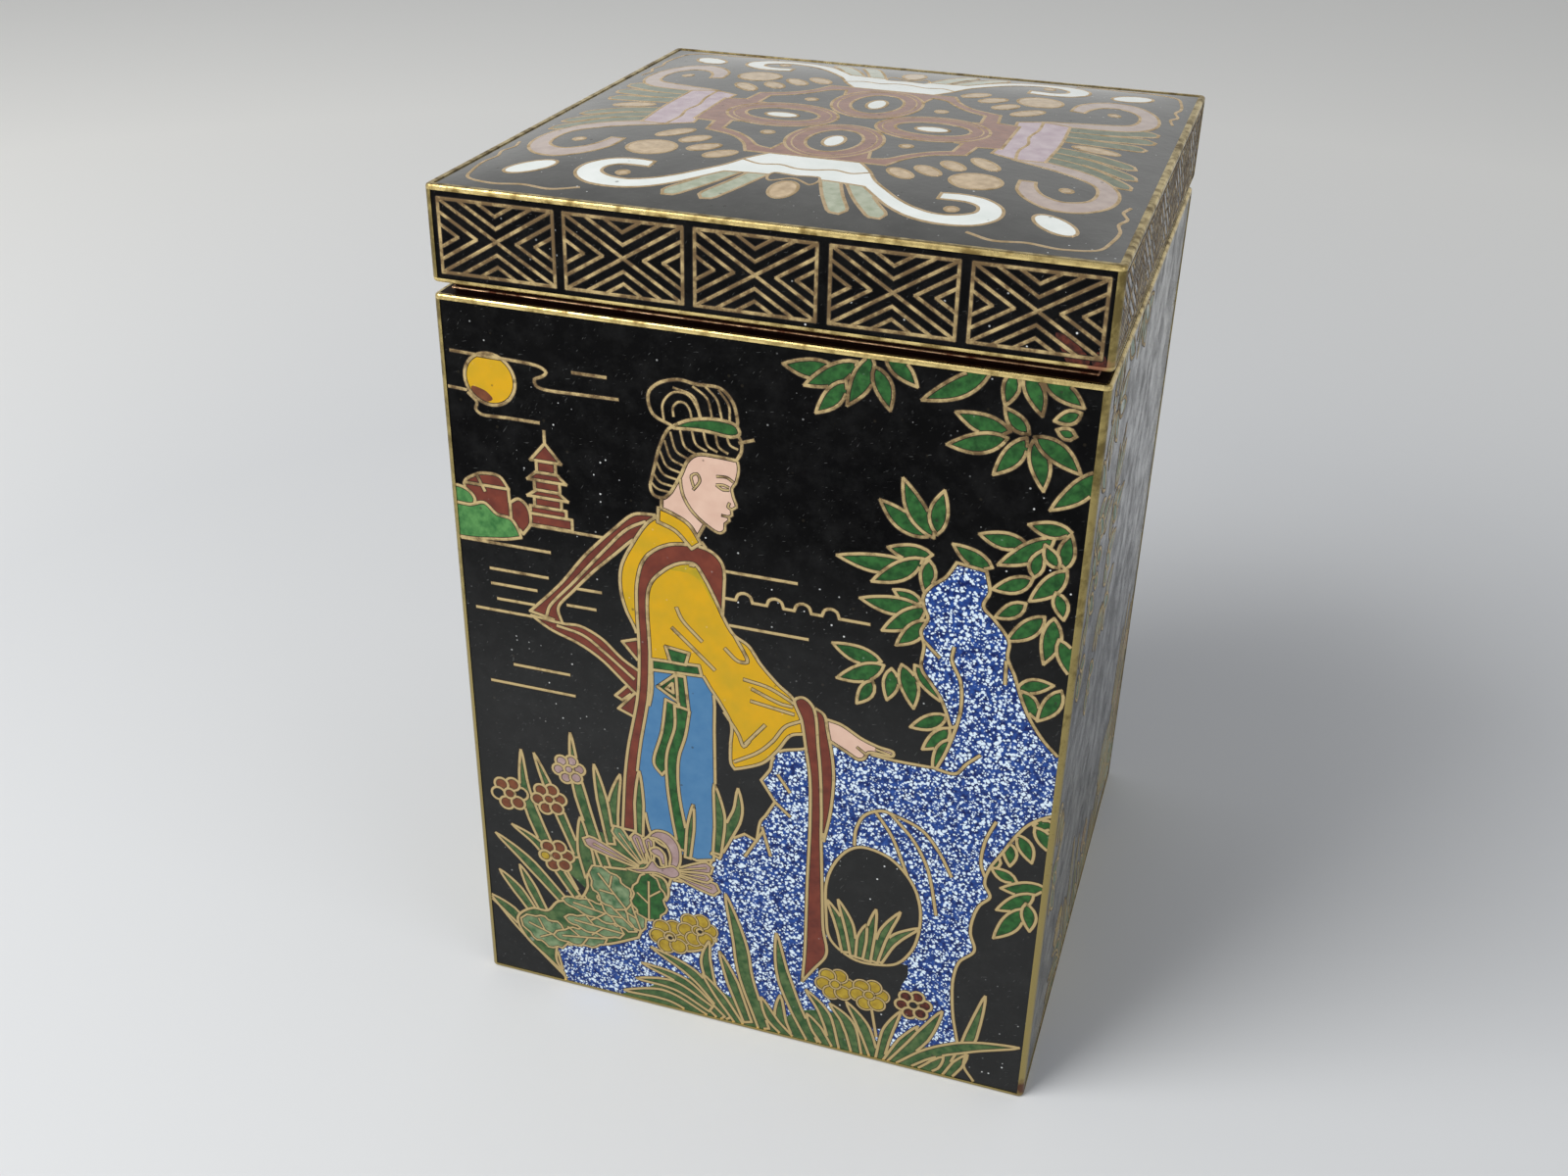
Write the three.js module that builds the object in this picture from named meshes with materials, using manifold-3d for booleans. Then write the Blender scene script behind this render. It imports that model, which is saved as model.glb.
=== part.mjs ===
// Square enamel box with a shallow cap lid, in millimetres, +Z up.
// Origin at the centre of the underside; the picture side faces -Y.
// Copper sheet forms the body and the lid. Gilt edge wires frame each face, and enamel fills
// the field between them. The lid slips over a collar and leaves an open line above the mouth.
// The lid's top is pressed into a low soft crown that rises fast at its edges.

import * as THREE from "three";
import * as BufferGeometryUtils from "three/addons/utils/BufferGeometryUtils.js";
import Module from "manifold-3d";

// Overall sizes
const outerWidth = 66;
const edgeHeight = 97;
const lidHeight = 9.6;
const lidGap = 1.2;
const crownRise = 1.5;
const crownPower = 4;

// Enamel and edge wires
const cornerRadius = 0.7;
const enamelDepth = 0.5;
const faceRecess = 0.1;
const baseEnamelDepth = 0.3;
const mouthRimHeight = 0.5;
const footRimHeight = 0.5;
const lidLowerRimHeight = 0.45;
const lidRimLedge = 0.2;
const edgeRounding = 0.3;

// Copper
const bodyWall = 1.0;
const basePlateThickness = 1.0;
const lidPlateThickness = 0.8;
const collarWall = 0.8;
const collarDepth = 6;
const slipClearance = 0.3;
const insideCorner = 0.6;

// Facets of a rounded corner, a rounded edge and the crown
const cornerSteps = 3;
const roundingSteps = 3;
const crownSteps = 16;

// Levels above the underside
const lidBottom = edgeHeight - lidHeight;
const mouth = lidBottom - lidGap;
const floorTop = baseEnamelDepth + basePlateThickness;
const lidPlateTop = edgeHeight - enamelDepth;
const lidCeiling = lidPlateTop - lidPlateThickness;

// Half widths in plan
const outerHalf = outerWidth / 2;
const copperHalf = outerHalf - enamelDepth;
const copperCorner = cornerRadius - enamelDepth;
const bodyInsideHalf = copperHalf - bodyWall;
const collarInsideHalf = bodyInsideHalf - collarWall;
const lidInsideHalf = bodyInsideHalf + slipClearance;
const fieldHalf = outerHalf - cornerRadius;
const lidTopFieldHalf = copperHalf - lidRimLedge;

const sideNames = ["front", "right", "back", "left"];
const cornerNames = ["front_left", "front_right", "back_right", "back_left"];

const wasm = await Module();
wasm.setup();

// Finishes
const gilt = () => new THREE.MeshStandardMaterial({ color: 0xb8965a, roughness: 0.35, metalness: 1 });
const copper = () => new THREE.MeshStandardMaterial({ color: 0x8a4a30, roughness: 0.45, metalness: 1 });
const blackEnamel = () => new THREE.MeshStandardMaterial({ color: 0x08080a, roughness: 0.12, metalness: 0 });

// Square outline with rounded corners, centred on the origin.
function roundedSquare(half, radius, path = new THREE.Shape()) {
  const flat = half - radius;
  path.moveTo(half, -flat);
  path.lineTo(half, flat);
  path.absarc(flat, flat, radius, 0, Math.PI / 2, false);
  path.absarc(-flat, flat, radius, Math.PI / 2, Math.PI, false);
  path.absarc(-flat, -flat, radius, Math.PI, 1.5 * Math.PI, false);
  path.absarc(flat, -flat, radius, 1.5 * Math.PI, 2 * Math.PI, false);
  return path;
}

function extrudeBetween(shape, bottom, top) {
  const options = { depth: top - bottom, bevelEnabled: false, curveSegments: cornerSteps };
  return new THREE.ExtrudeGeometry(shape, options).translate(0, 0, bottom);
}

function squarePlate(half, radius, bottom, top) {
  return extrudeBetween(roundedSquare(half, radius), bottom, top);
}

function squareTube(outer, outerCorner, inner, innerCorner, bottom, top) {
  const shape = roundedSquare(outer, outerCorner);
  shape.holes.push(roundedSquare(inner, innerCorner, new THREE.Path()));
  return extrudeBetween(shape, bottom, top);
}

// Solid of the whole plan between two levels, with its upper and lower edges rounded over.
function softBlock(bottom, top) {
  const geometry = new THREE.ExtrudeGeometry(roundedSquare(outerHalf, cornerRadius), {
    depth: top - bottom - 2 * edgeRounding,
    bevelThickness: edgeRounding,
    bevelSize: edgeRounding,
    bevelOffset: -edgeRounding,
    bevelSegments: roundingSteps,
    curveSegments: cornerSteps,
  });
  return geometry.translate(0, 0, bottom + edgeRounding);
}

function toManifold(geometry) {
  const bare = geometry.clone();
  bare.deleteAttribute("normal");
  bare.deleteAttribute("uv");
  const merged = BufferGeometryUtils.mergeVertices(bare);
  return new wasm.Manifold(
    new wasm.Mesh({
      numProp: 3,
      vertProperties: new Float32Array(merged.attributes.position.array),
      triVerts: new Uint32Array(merged.index.array),
    }),
  );
}

function toGeometry(manifold) {
  const mesh = manifold.getMesh();
  const geometry = new THREE.BufferGeometry();
  geometry.setAttribute("position", new THREE.BufferAttribute(mesh.vertProperties, 3));
  geometry.setIndex(new THREE.BufferAttribute(mesh.triVerts, 1));
  return geometry;
}

// Rise of the lid's crown above its edge, at a place in plan.
function crownAt(x, y, span) {
  const fallAlong = Math.min(Math.abs(x) / span, 1) ** crownPower;
  const fallAcross = Math.min(Math.abs(y) / span, 1) ** crownPower;
  return crownRise * (1 - fallAlong) * (1 - fallAcross);
}

// Splits the squares of a sheet's underside along the same diagonals as those above,
// so that one crowned sheet nests on another without a gap.
function nestUnderside(sheet) {
  const facets = sheet.index;
  const underside = sheet.groups[5];
  for (let i = underside.start; i < underside.start + underside.count; i += 6) {
    facets.setX(i + 2, facets.getX(i + 4));
    facets.setX(i + 3, facets.getX(i));
  }
}

// Square sheet between two levels, raised into the crown above and below.
function crownedSheet(bottom, top, undersideSpan) {
  const half = lidTopFieldHalf;
  const middle = (bottom + top) / 2;
  const sheet = new THREE.BoxGeometry(2 * half, 2 * half, top - bottom, crownSteps, crownSteps, 1);
  sheet.translate(0, 0, middle);
  const place = sheet.attributes.position;
  for (let i = 0; i < place.count; i += 1) {
    const level = place.getZ(i);
    const span = level > middle ? half : undersideSpan;
    place.setZ(i, level + crownAt(place.getX(i), place.getY(i), span));
  }
  nestUnderside(sheet);
  return toManifold(sheet);
}

// Edge wire round the plan between two levels. Its outer edge is rounded at the top or at the bottom.
function edgeRing(innerHalf, innerCorner, bottom, top, roundedEdge) {
  const height = top - bottom;
  const spare = height + 2 * edgeRounding;
  const block =
    roundedEdge === "top" ? softBlock(bottom - spare, top) : softBlock(bottom, top + spare);
  const offcutCentre = roundedEdge === "top" ? bottom - spare : top + spare;
  const offcut = new THREE.BoxGeometry(outerWidth * 2, outerWidth * 2, spare * 2);
  offcut.translate(0, 0, offcutCentre);
  const opening = squarePlate(innerHalf, innerCorner, bottom - spare, top + spare);
  const ring = toManifold(block).subtract(toManifold(offcut)).subtract(toManifold(opening));
  return toGeometry(ring);
}

// Quarter-round wire that wraps one vertical corner of the copper.
function cornerWire(bottom, top) {
  const section = new THREE.Shape();
  section.moveTo(cornerRadius, 0);
  section.absarc(0, 0, cornerRadius, 0, Math.PI / 2, false);
  section.lineTo(0, copperCorner);
  section.absarc(0, 0, copperCorner, Math.PI / 2, 0, true);
  return extrudeBetween(section, bottom, top);
}

// Enamel field laid on one side of the copper, on the -Y side before it is turned into place.
function enamelField(bottom, top) {
  const thickness = enamelDepth - faceRecess;
  const slab = new THREE.BoxGeometry(2 * fieldHalf, thickness, top - bottom);
  return slab.translate(0, -(copperHalf + thickness / 2), (top + bottom) / 2);
}

function piece(name, geometry, material) {
  const mesh = new THREE.Mesh(geometry, material);
  mesh.name = name;
  return mesh;
}

// Four enamel fields and four corner wires between two levels.
function dressSides(group, prefix, fieldName, bottom, top) {
  sideNames.forEach((side, index) => {
    const field = piece(`${prefix}_${fieldName}_${side}`, enamelField(bottom, top), blackEnamel());
    field.rotation.z = (index * Math.PI) / 2;
    group.add(field);
  });
  cornerNames.forEach((corner, index) => {
    const wire = piece(`${prefix}_corner_wire_${corner}`, cornerWire(bottom, top), gilt());
    const turn = ((index + 2) * Math.PI) / 2;
    const reach = fieldHalf * Math.SQRT2;
    wire.rotation.z = turn;
    wire.position.set(reach * Math.cos(turn + Math.PI / 4), reach * Math.sin(turn + Math.PI / 4), 0);
    group.add(wire);
  });
}

function makeBody() {
  const body = new THREE.Group();
  const walls = squareTube(copperHalf, copperCorner, bodyInsideHalf, insideCorner, floorTop, mouth);
  const base = squarePlate(copperHalf, copperCorner, baseEnamelDepth, floorTop);
  const underside = squarePlate(copperHalf, copperCorner, 0, baseEnamelDepth);
  const collar = squareTube(
    bodyInsideHalf,
    insideCorner,
    collarInsideHalf,
    insideCorner,
    mouth - collarDepth,
    lidCeiling,
  );
  const mouthRim = edgeRing(copperHalf, copperCorner, mouth - mouthRimHeight, mouth, "top");
  const footRim = edgeRing(copperHalf, copperCorner, 0, footRimHeight, "bottom");
  body.add(piece("body_walls", walls, copper()));
  body.add(piece("base_plate", base, copper()));
  body.add(piece("base_enamel", underside, blackEnamel()));
  body.add(piece("collar", collar, copper()));
  body.add(piece("body_mouth_rim", mouthRim, gilt()));
  body.add(piece("body_foot_rim", footRim, gilt()));
  dressSides(body, "body", "enamel", footRimHeight, mouth - mouthRimHeight);
  return body;
}

function makeLid() {
  const lid = new THREE.Group();
  const lidInsideCorner = insideCorner + slipClearance;
  const skirt = squareTube(
    copperHalf,
    copperCorner,
    lidInsideHalf,
    lidInsideCorner,
    lidBottom,
    lidCeiling,
  );
  const plateMargin = squareTube(
    copperHalf,
    copperCorner,
    collarInsideHalf,
    insideCorner,
    lidCeiling,
    lidPlateTop,
  );
  const pressed = crownedSheet(lidCeiling, lidPlateTop, collarInsideHalf);
  const plate = toGeometry(pressed.add(toManifold(plateMargin)));
  const topRim = edgeRing(lidTopFieldHalf, copperCorner, lidPlateTop, edgeHeight, "top");
  const lowerRimTop = lidBottom + lidLowerRimHeight;
  const lowerRim = edgeRing(copperHalf, copperCorner, lidBottom, lowerRimTop, "bottom");
  const fieldOutline = squarePlate(lidTopFieldHalf, copperCorner, lidCeiling, edgeHeight + crownRise);
  const topSheet = crownedSheet(lidPlateTop, edgeHeight - faceRecess, lidTopFieldHalf);
  const topField = toGeometry(topSheet.intersect(toManifold(fieldOutline)));
  lid.add(piece("lid_skirt", skirt, copper()));
  lid.add(piece("lid_plate", plate, copper()));
  lid.add(piece("lid_top_rim", topRim, gilt()));
  lid.add(piece("lid_lower_rim", lowerRim, gilt()));
  lid.add(piece("lid_top_enamel", topField, blackEnamel()));
  dressSides(lid, "lid", "band_enamel", lowerRimTop, lidPlateTop);
  return lid;
}

const box = new THREE.Group();
box.add(makeBody());
box.add(makeLid());

export default box;
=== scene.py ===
"""Looks of a square cloisonne enamel box: enamel cells, the wires between them, finishes and studio."""

import math
from collections import namedtuple

import bpy
import numpy as np
from mathutils import Matrix, Vector
from mathutils.geometry import delaunay_2d_cdt


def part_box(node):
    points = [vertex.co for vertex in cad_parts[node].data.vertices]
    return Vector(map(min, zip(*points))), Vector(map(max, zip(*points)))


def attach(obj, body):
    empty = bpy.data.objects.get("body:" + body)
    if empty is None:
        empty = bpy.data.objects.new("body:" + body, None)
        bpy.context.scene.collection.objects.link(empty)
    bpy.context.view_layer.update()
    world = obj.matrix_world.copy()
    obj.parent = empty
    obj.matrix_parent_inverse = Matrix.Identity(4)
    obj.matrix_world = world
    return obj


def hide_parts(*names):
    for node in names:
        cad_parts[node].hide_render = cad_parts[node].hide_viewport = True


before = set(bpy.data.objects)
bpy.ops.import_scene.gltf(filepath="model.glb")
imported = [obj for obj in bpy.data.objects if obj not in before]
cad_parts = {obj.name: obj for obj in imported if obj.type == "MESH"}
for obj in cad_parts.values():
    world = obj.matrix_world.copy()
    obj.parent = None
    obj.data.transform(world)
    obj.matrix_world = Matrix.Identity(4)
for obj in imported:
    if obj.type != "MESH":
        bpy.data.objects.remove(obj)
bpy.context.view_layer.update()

bl_info = {
    "name": "Cloisonne Enamel Box",
    "version": (1, 0, 0),
    "blender": (4, 5, 0),
    "location": "3D View > Sidebar > Enamel Box",
    "description": "Lays the enamel cells and wires on the box and gives every piece its finish",
    "category": "Object",
}

MM = 0.001
SIDES = ("front", "right", "back", "left")

# Steps and gaps of the drawing, in millimetres
CURVE_STEP = 0.35
OUTLINE_TOLERANCE = 0.012
WIRE_TOLERANCE = 0.01
WIRE_STEP = 0.2
WIRE_GAP = 0.24
WIRE_SHORTEST = 0.12
MEETING_MARGIN = 0.06

# A wire is cut where the cosine of its bend is below the first value. It ends the second's share of its
# width past its last point, and in a bend it widens by no more than one over the third.
CUT_BEND = 0.55
END_REACH = 0.3
MITRE_LIMIT = 0.75

# How deep cells and wires reach under their tops, how much wider than its wire a seam of painted shade is,
# how far its sides and top stand over the cells, in millimetres, and how high the cells stand as a share of
# the wires' relief
CELL_DEPTH = 0.2
WIRE_DEPTH = 0.1
SEAM_WIDENING = 0.15
SEAM_SIDE = 0.001
SEAM_TOP = 0.004
CELL_TOP_SHARE = 0.4

# The lid enamel, in millimetres: how far its edge lies under the top of the rim, and the room over its crown
LID_EDGE_DROP = 0.1
LID_CROWN_ROOM = 0.055

# The solder line, in millimetres: its height over the mouth rim, its width, and its foot, sides and top
SOLDER_RISE = 0.34
SOLDER_WIDTH = 0.24
SOLDER_SECTION = (-0.1, 0.02, 0.12)

# How a face is finished: a word for its materials' names, the specular level, the depth of its waves in
# millimetres and how patchy its gloss is. The specular level differs from face to face as painted light: low
# on the front and the lid's bands, dimming their reflections as painted shade, high on the lid's top as
# painted sheen.
Finish = namedtuple("Finish", "word specular waves uneven")
# Low specular: the reflections are dimmed as painted shade.
DIMMED_REFLECTION = Finish("reflection-dimmed", 0.15, 0.03, 0.07)
DIMMED_REFLECTION_BLACK = Finish("reflection-dimmed", 0.03, 0.03, 0.07)
SIDE = Finish("side", 0.5, 0.12, 0.40)
SIDE_BLACK = Finish("side", 0.6, 0.12, 0.32)
# High specular: the lid's reflections are brightened as painted sheen.
LID = Finish("lid", 0.7, 0.03, 0.07)
LID_BLACK = Finish("lid", 0.8, 0.03, 0.07)

# What each enamel colour is: its slot, its two tones, the size of its mottling in millimetres, how hard the
# mottling's edges are and the balance of the tones.
ENAMELS = {
    "black": ("black_enamel", (0.0018, 0.0018, 0.0020), (0.0036, 0.0036, 0.0038), 6.0, 0.2, 0.5),
    # The lid's black, red, lilac and tan are made lighter as painted sheen of its top.
    "lid_sheen_black": ("black_enamel", (0.030, 0.030, 0.027), (0.055, 0.055, 0.050), 4.0, 0.3, 0.5),
    "lid_red": ("red_brown_enamel", (0.28, 0.13, 0.085), (0.19, 0.080, 0.055), 1.4, 0.4, 0.5),
    "lid_lilac": ("lilac_enamel", (0.47, 0.38, 0.33), (0.36, 0.28, 0.25), 1.4, 0.4, 0.5),
    "lid_tan": ("tan_enamel", (0.58, 0.44, 0.27), (0.38, 0.27, 0.15), 1.0, 0.4, 0.5),
    "yellow": ("yellow_enamel", (0.57, 0.315, 0.006), (0.44, 0.285, 0.012), 2.5, 0.3, 0.55),
    "red_brown": ("red_brown_enamel", (0.165, 0.038, 0.022), (0.105, 0.024, 0.016), 1.4, 0.4, 0.5),
    "flower_brown": ("red_brown_enamel", (0.175, 0.058, 0.024), (0.105, 0.032, 0.015), 0.9, 0.4, 0.5),
    "leaf_green": ("leaf_green_enamel", (0.009, 0.048, 0.011), (0.027, 0.116, 0.027), 0.8, 0.5, 0.5),
    "bank_green": ("leaf_green_enamel", (0.030, 0.130, 0.034), (0.085, 0.240, 0.070), 0.9, 0.5, 0.5),
    "feather": ("grass_green_enamel", (0.060, 0.085, 0.040), (0.140, 0.170, 0.095), 1.0, 0.4, 0.5),
    "grass_green": ("grass_green_enamel", (0.022, 0.066, 0.020), (0.085, 0.140, 0.050), 0.9, 0.45, 0.52),
    "pale_leaf": ("grass_green_enamel", (0.030, 0.095, 0.035), (0.190, 0.260, 0.140), 1.3, 0.5, 0.5),
    "blue": ("blue_enamel", (0.050, 0.155, 0.31), (0.070, 0.185, 0.34), 1.6, 0.3, 0.5),
    "speckled_blue": ("speckled_blue_enamel", (0.003, 0.010, 0.080), (0.018, 0.065, 0.27), 0.55, 0.55, 0.5),
    "white": ("white_enamel", (0.80, 0.83, 0.81), (0.68, 0.73, 0.70), 3.0, 0.2, 0.5),
    "celadon": ("white_enamel", (0.27, 0.31, 0.21), (0.44, 0.47, 0.36), 1.0, 0.3, 0.5),
    "pink": ("pink_enamel", (0.63, 0.44, 0.345), (0.55, 0.36, 0.28), 2.0, 0.2, 0.55),
    "lilac": ("lilac_enamel", (0.25, 0.16, 0.155), (0.37, 0.27, 0.26), 1.2, 0.3, 0.5),
    "mauve": ("lilac_enamel", (0.52, 0.43, 0.46), (0.38, 0.28, 0.33), 1.6, 0.4, 0.5),
    "lime": ("yellow_enamel", (0.48, 0.31, 0.010), (0.34, 0.26, 0.014), 1.0, 0.3, 0.5),
    "olive": ("yellow_enamel", (0.27, 0.175, 0.015), (0.40, 0.28, 0.03), 0.7, 0.4, 0.5),
    "bleed": ("red_brown_enamel", (0.110, 0.024, 0.014), (0.026, 0.008, 0.006), 0.5, 0.5, 0.5),
}


# Lines and outlines, in millimetres


def spline(row, step):
    """A smooth line between the second and the last but one of a row of points."""
    made = [row[1:2]]
    for a, b, c, d in zip(row, row[1:], row[2:], row[3:]):
        gaps = [max(float(np.hypot(*(q - p))), 1e-4) ** 0.5 for p, q in ((a, b), (b, c), (c, d))]
        k0, k1, k2, k3 = np.cumsum([0.0, *gaps])
        count = max(1, math.ceil(float(np.hypot(*(c - b))) / step))
        t = np.linspace(k1, k2, count + 1)[1:, None]
        ab = ((k1 - t) * a + (t - k0) * b) / (k1 - k0)
        bc = ((k2 - t) * b + (t - k1) * c) / (k2 - k1)
        cd = ((k3 - t) * c + (t - k2) * d) / (k3 - k2)
        first = ((k2 - t) * ab + (t - k0) * bc) / (k2 - k0)
        second = ((k3 - t) * bc + (t - k1) * cd) / (k3 - k1)
        made.append(((k2 - t) * first + (t - k1) * second) / (k2 - k1))
    return np.vstack(made)


def smooth(points, closed=False, step=CURVE_STEP):
    """A smooth line through points. A point with a third value is a sharp corner."""
    flat = [np.array(p[:2], float) for p in points]
    corners = [i for i, p in enumerate(points) if len(p) > 2]
    if closed and not corners:
        return spline(np.array([flat[-1], *flat, flat[0], flat[1]]), step)
    if closed:
        start = corners[0]
        flat = flat[start:] + flat[: start + 1]
        corners = [i - start for i in corners]
    stops = sorted({0, *corners, len(flat) - 1})
    parts = []
    for i, j in zip(stops, stops[1:]):
        stretch = flat[i : j + 1]
        if len(stretch) == 2:
            parts.append(np.array(stretch))
        else:
            before, after = 2 * stretch[0] - stretch[1], 2 * stretch[-1] - stretch[-2]
            parts.append(spline(np.array([before, *stretch, after]), step))
    return np.vstack([parts[0], *[part[1:] for part in parts[1:]]])


def simplify(line, tolerance):
    """The same line with only the points that its bends need."""
    if len(line) < 3:
        return line
    along = line[-1] - line[0]
    length = float(np.hypot(*along))
    offset = line - line[0]
    if length < 1e-6:
        away = np.hypot(offset[:, 0], offset[:, 1])
    else:
        away = np.abs(offset[:, 0] * along[1] - offset[:, 1] * along[0]) / length
    far = int(np.argmax(away))
    if away[far] <= tolerance:
        return line[[0, -1]]
    first, second = simplify(line[: far + 1], tolerance), simplify(line[far:], tolerance)
    return np.vstack([first[:-1], second])


def resample(line, step):
    """The line with points added so that none are further apart than step."""
    made = [line[:1]]
    for a, b in zip(line, line[1:]):
        count = max(1, math.ceil(float(np.hypot(*(b - a))) / step))
        made.append(a + (b - a) * np.linspace(0, 1, count + 1)[1:, None])
    return np.vstack(made)


def inside(points, outline):
    """Which points lie inside a closed outline."""
    a, b = outline[:-1], outline[1:]
    ax, ay, bx, by = a[:, :1], a[:, 1:], b[:, :1], b[:, 1:]
    x, y = points[:, 0], points[:, 1]
    crosses = (ay > y) != (by > y)
    rise = np.where(np.abs(by - ay) < 1e-12, 1e-12, by - ay)
    return (crosses & (x < ax + (y - ay) * (bx - ax) / rise)).sum(0) % 2 == 1


def oval(u, v, half_width, half_height, turn=0, count=24):
    """An oval round (u, v), turned anticlockwise by degrees."""
    angle = np.linspace(0, 2 * math.pi, count, endpoint=False)
    x, y = half_width * np.cos(angle), half_height * np.sin(angle)
    c, s = math.cos(math.radians(turn)), math.sin(math.radians(turn))
    return np.stack([u + c * x - s * y, v + s * x + c * y], 1)


def strip(points, width, profile):
    """A long cell about a smooth middle line. The profile gives its half widths from start to end."""
    middle = smooth(points, step=0.6)
    along = np.gradient(middle, axis=0)
    along /= np.maximum(np.hypot(along[:, 0], along[:, 1]), 1e-9)[:, None]
    across = np.stack([-along[:, 1], along[:, 0]], 1)
    gone = np.concatenate([[0], np.cumsum(np.hypot(*np.diff(middle, axis=0).T))])
    half = width / 2 * np.array([profile(t) for t in gone / gone[-1]])[:, None]
    return np.vstack([middle + across * half, (middle - across * half)[::-1]])


def midway(a, b):
    """The point halfway between two others."""
    return ((a[0] + b[0]) / 2, (a[1] + b[1]) / 2)


def leaf(base, tip, width):
    """A pointed leaf, widest a little nearer its base, that bends slightly."""
    base, tip = np.array(base, float), np.array(tip, float)
    along = tip - base
    side = np.array([-along[1], along[0]])
    middle = [base, base + along * 0.5 + side * 0.04, tip]
    return strip(middle, width, lambda t: math.sin(math.pi * t**0.85) ** 0.9)


def blade(points, width):
    """A grass blade from its pointed tip down to its root."""
    return strip(points, width, lambda t: min(1.0, (t / 0.45) ** 0.7) * (1 - 0.35 * t))


def round_end(t, start):
    """The half width of a cell that ends in a round, which starts at a share of its length."""
    return 1 if t < start else math.sqrt(max(0, 1 - ((t - start) / (1 - start)) ** 2))


def petal(base, tip, width):
    """A long petal with a round end."""

    def profile(t):
        return 0.25 + 0.75 * math.sin(math.pi / 2 * t) if t < 0.82 else round_end(t, 0.82)

    return strip([base, midway(base, tip), tip], width, profile)


class Picture:
    """Cells and wires on one field, drawn from back to front. A later cell covers what lies under it."""

    def __init__(self, left, bottom, right, top, wire):
        self.field = (left, bottom, right, top)
        self.wire = wire
        self.shapes = []
        self.move_pen(0, 0)

    def move_pen(self, u, v, mirrored=False):
        """Draws what follows shifted, and mirrored from left to right if asked."""
        self.pen = (-1 if mirrored else 1, 1), (u, v)

    def shape(self, line, colour, width):
        """Keeps an outline or a line where the pen is."""
        turn, shift = self.pen
        self.shapes.append({"line": line * turn + shift, "colour": colour, "width": width * self.wire})

    def cell(self, points, colour, width=1.0, rounded=True):
        """An enamel cell with a wire round it. Width is in wires, and 0 leaves the wire out."""
        line = smooth(points, closed=True) if rounded else np.array([*points, points[0]], float)
        self.shape(simplify_loop(line), colour, width)

    def line(self, points, width=1.0):
        """A wire on its own."""
        self.shape(smooth(points), None, width)

    def runs(self):
        """The stretches of every wire that no later cell covers, with their widths."""
        left, bottom, right, top = self.field
        edge = self.wire * 0.5
        rows = [resample(shape["line"], WIRE_STEP) for shape in self.shapes]
        reach = WIRE_GAP + MEETING_MARGIN
        lows = np.array([row.min(0) for row in rows]) - reach
        highs = np.array([row.max(0) for row in rows]) + reach
        cells = np.array([shape["colour"] is not None for shape in self.shapes])
        for order, shape in enumerate(self.shapes):
            if not shape["width"]:
                continue
            row = rows[order]
            u, v = row[:, 0], row[:, 1]
            hidden = (u < left + edge) | (u > right - edge) | (v < bottom + edge) | (v > top - edge)
            meets = cells & (lows < highs[order]).all(1) & (highs > lows[order]).all(1)
            for k in np.flatnonzero(meets[order + 1 :]) + order + 1:
                later, loop = self.shapes[k], rows[k]
                near = ~hidden & (row > lows[k]).all(1) & (row < highs[k]).all(1)
                if near.any():
                    here = row[near]
                    covered = inside(here, later["line"])
                    if later["width"]:
                        gap = here[:, None, :] - loop[None, :, :]
                        covered |= (gap**2).sum(2).min(1) < WIRE_GAP**2
                    hidden[near] |= covered
            for run in stretches(row, ~hidden, shape["colour"] is not None):
                yield run, shape["width"]

    def partition(self, grid):
        """The field cut into triangles, with the colour of each, and extra cuts every grid millimetres."""
        left, bottom, right, top = self.field
        corners = np.array([(left, bottom), (right, bottom), (right, top), (left, top), (left, bottom)])
        rows = [corners, *[s["line"] for s in self.shapes if s["colour"]]]
        if grid:
            for k in np.arange(math.ceil(left / grid) * grid, right, grid):
                rows.append(np.array([(k, bottom), (k, top)]))
            for k in np.arange(math.ceil(bottom / grid) * grid, top, grid):
                rows.append(np.array([(left, k), (right, k)]))
        points, edges = [], []
        for row in rows:
            start = len(points)
            points.extend(Vector(p) for p in row)
            edges.extend((i, i + 1) for i in range(start, len(points) - 1))
        made = delaunay_2d_cdt(points, edges, [], 0, 1e-4, False)
        verts = np.array([tuple(v) for v in made[0]])
        faces = np.array([f for f in made[2] if len(f) == 3])
        a, b, c = (verts[faces[:, i]] for i in range(3))
        turn = (b[:, 0] - a[:, 0]) * (c[:, 1] - a[:, 1]) - (b[:, 1] - a[:, 1]) * (c[:, 0] - a[:, 0])
        faces[turn < 0] = faces[turn < 0][:, ::-1]
        middle = (a + b + c) / 3
        within = (np.abs(turn) > 1e-7) & inside(middle, corners)
        faces, middle = faces[within], middle[within]
        colours = np.full(len(faces), "black", dtype=object)
        for shape in self.shapes:
            if shape["colour"]:
                low, high = shape["line"].min(0), shape["line"].max(0)
                near = np.nonzero(((middle > low) & (middle < high)).all(1))[0]
                if len(near):
                    colours[near[inside(middle[near], shape["line"])]] = shape["colour"]
        return verts, faces, colours


def simplify_loop(line):
    """A closed line with only the points that its bends need."""
    far = int(np.argmax(((line - line[0]) ** 2).sum(1)))
    first = simplify(line[: far + 1], OUTLINE_TOLERANCE)
    second = simplify(line[far:], OUTLINE_TOLERANCE)
    return np.vstack([first[:-1], second])


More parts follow.
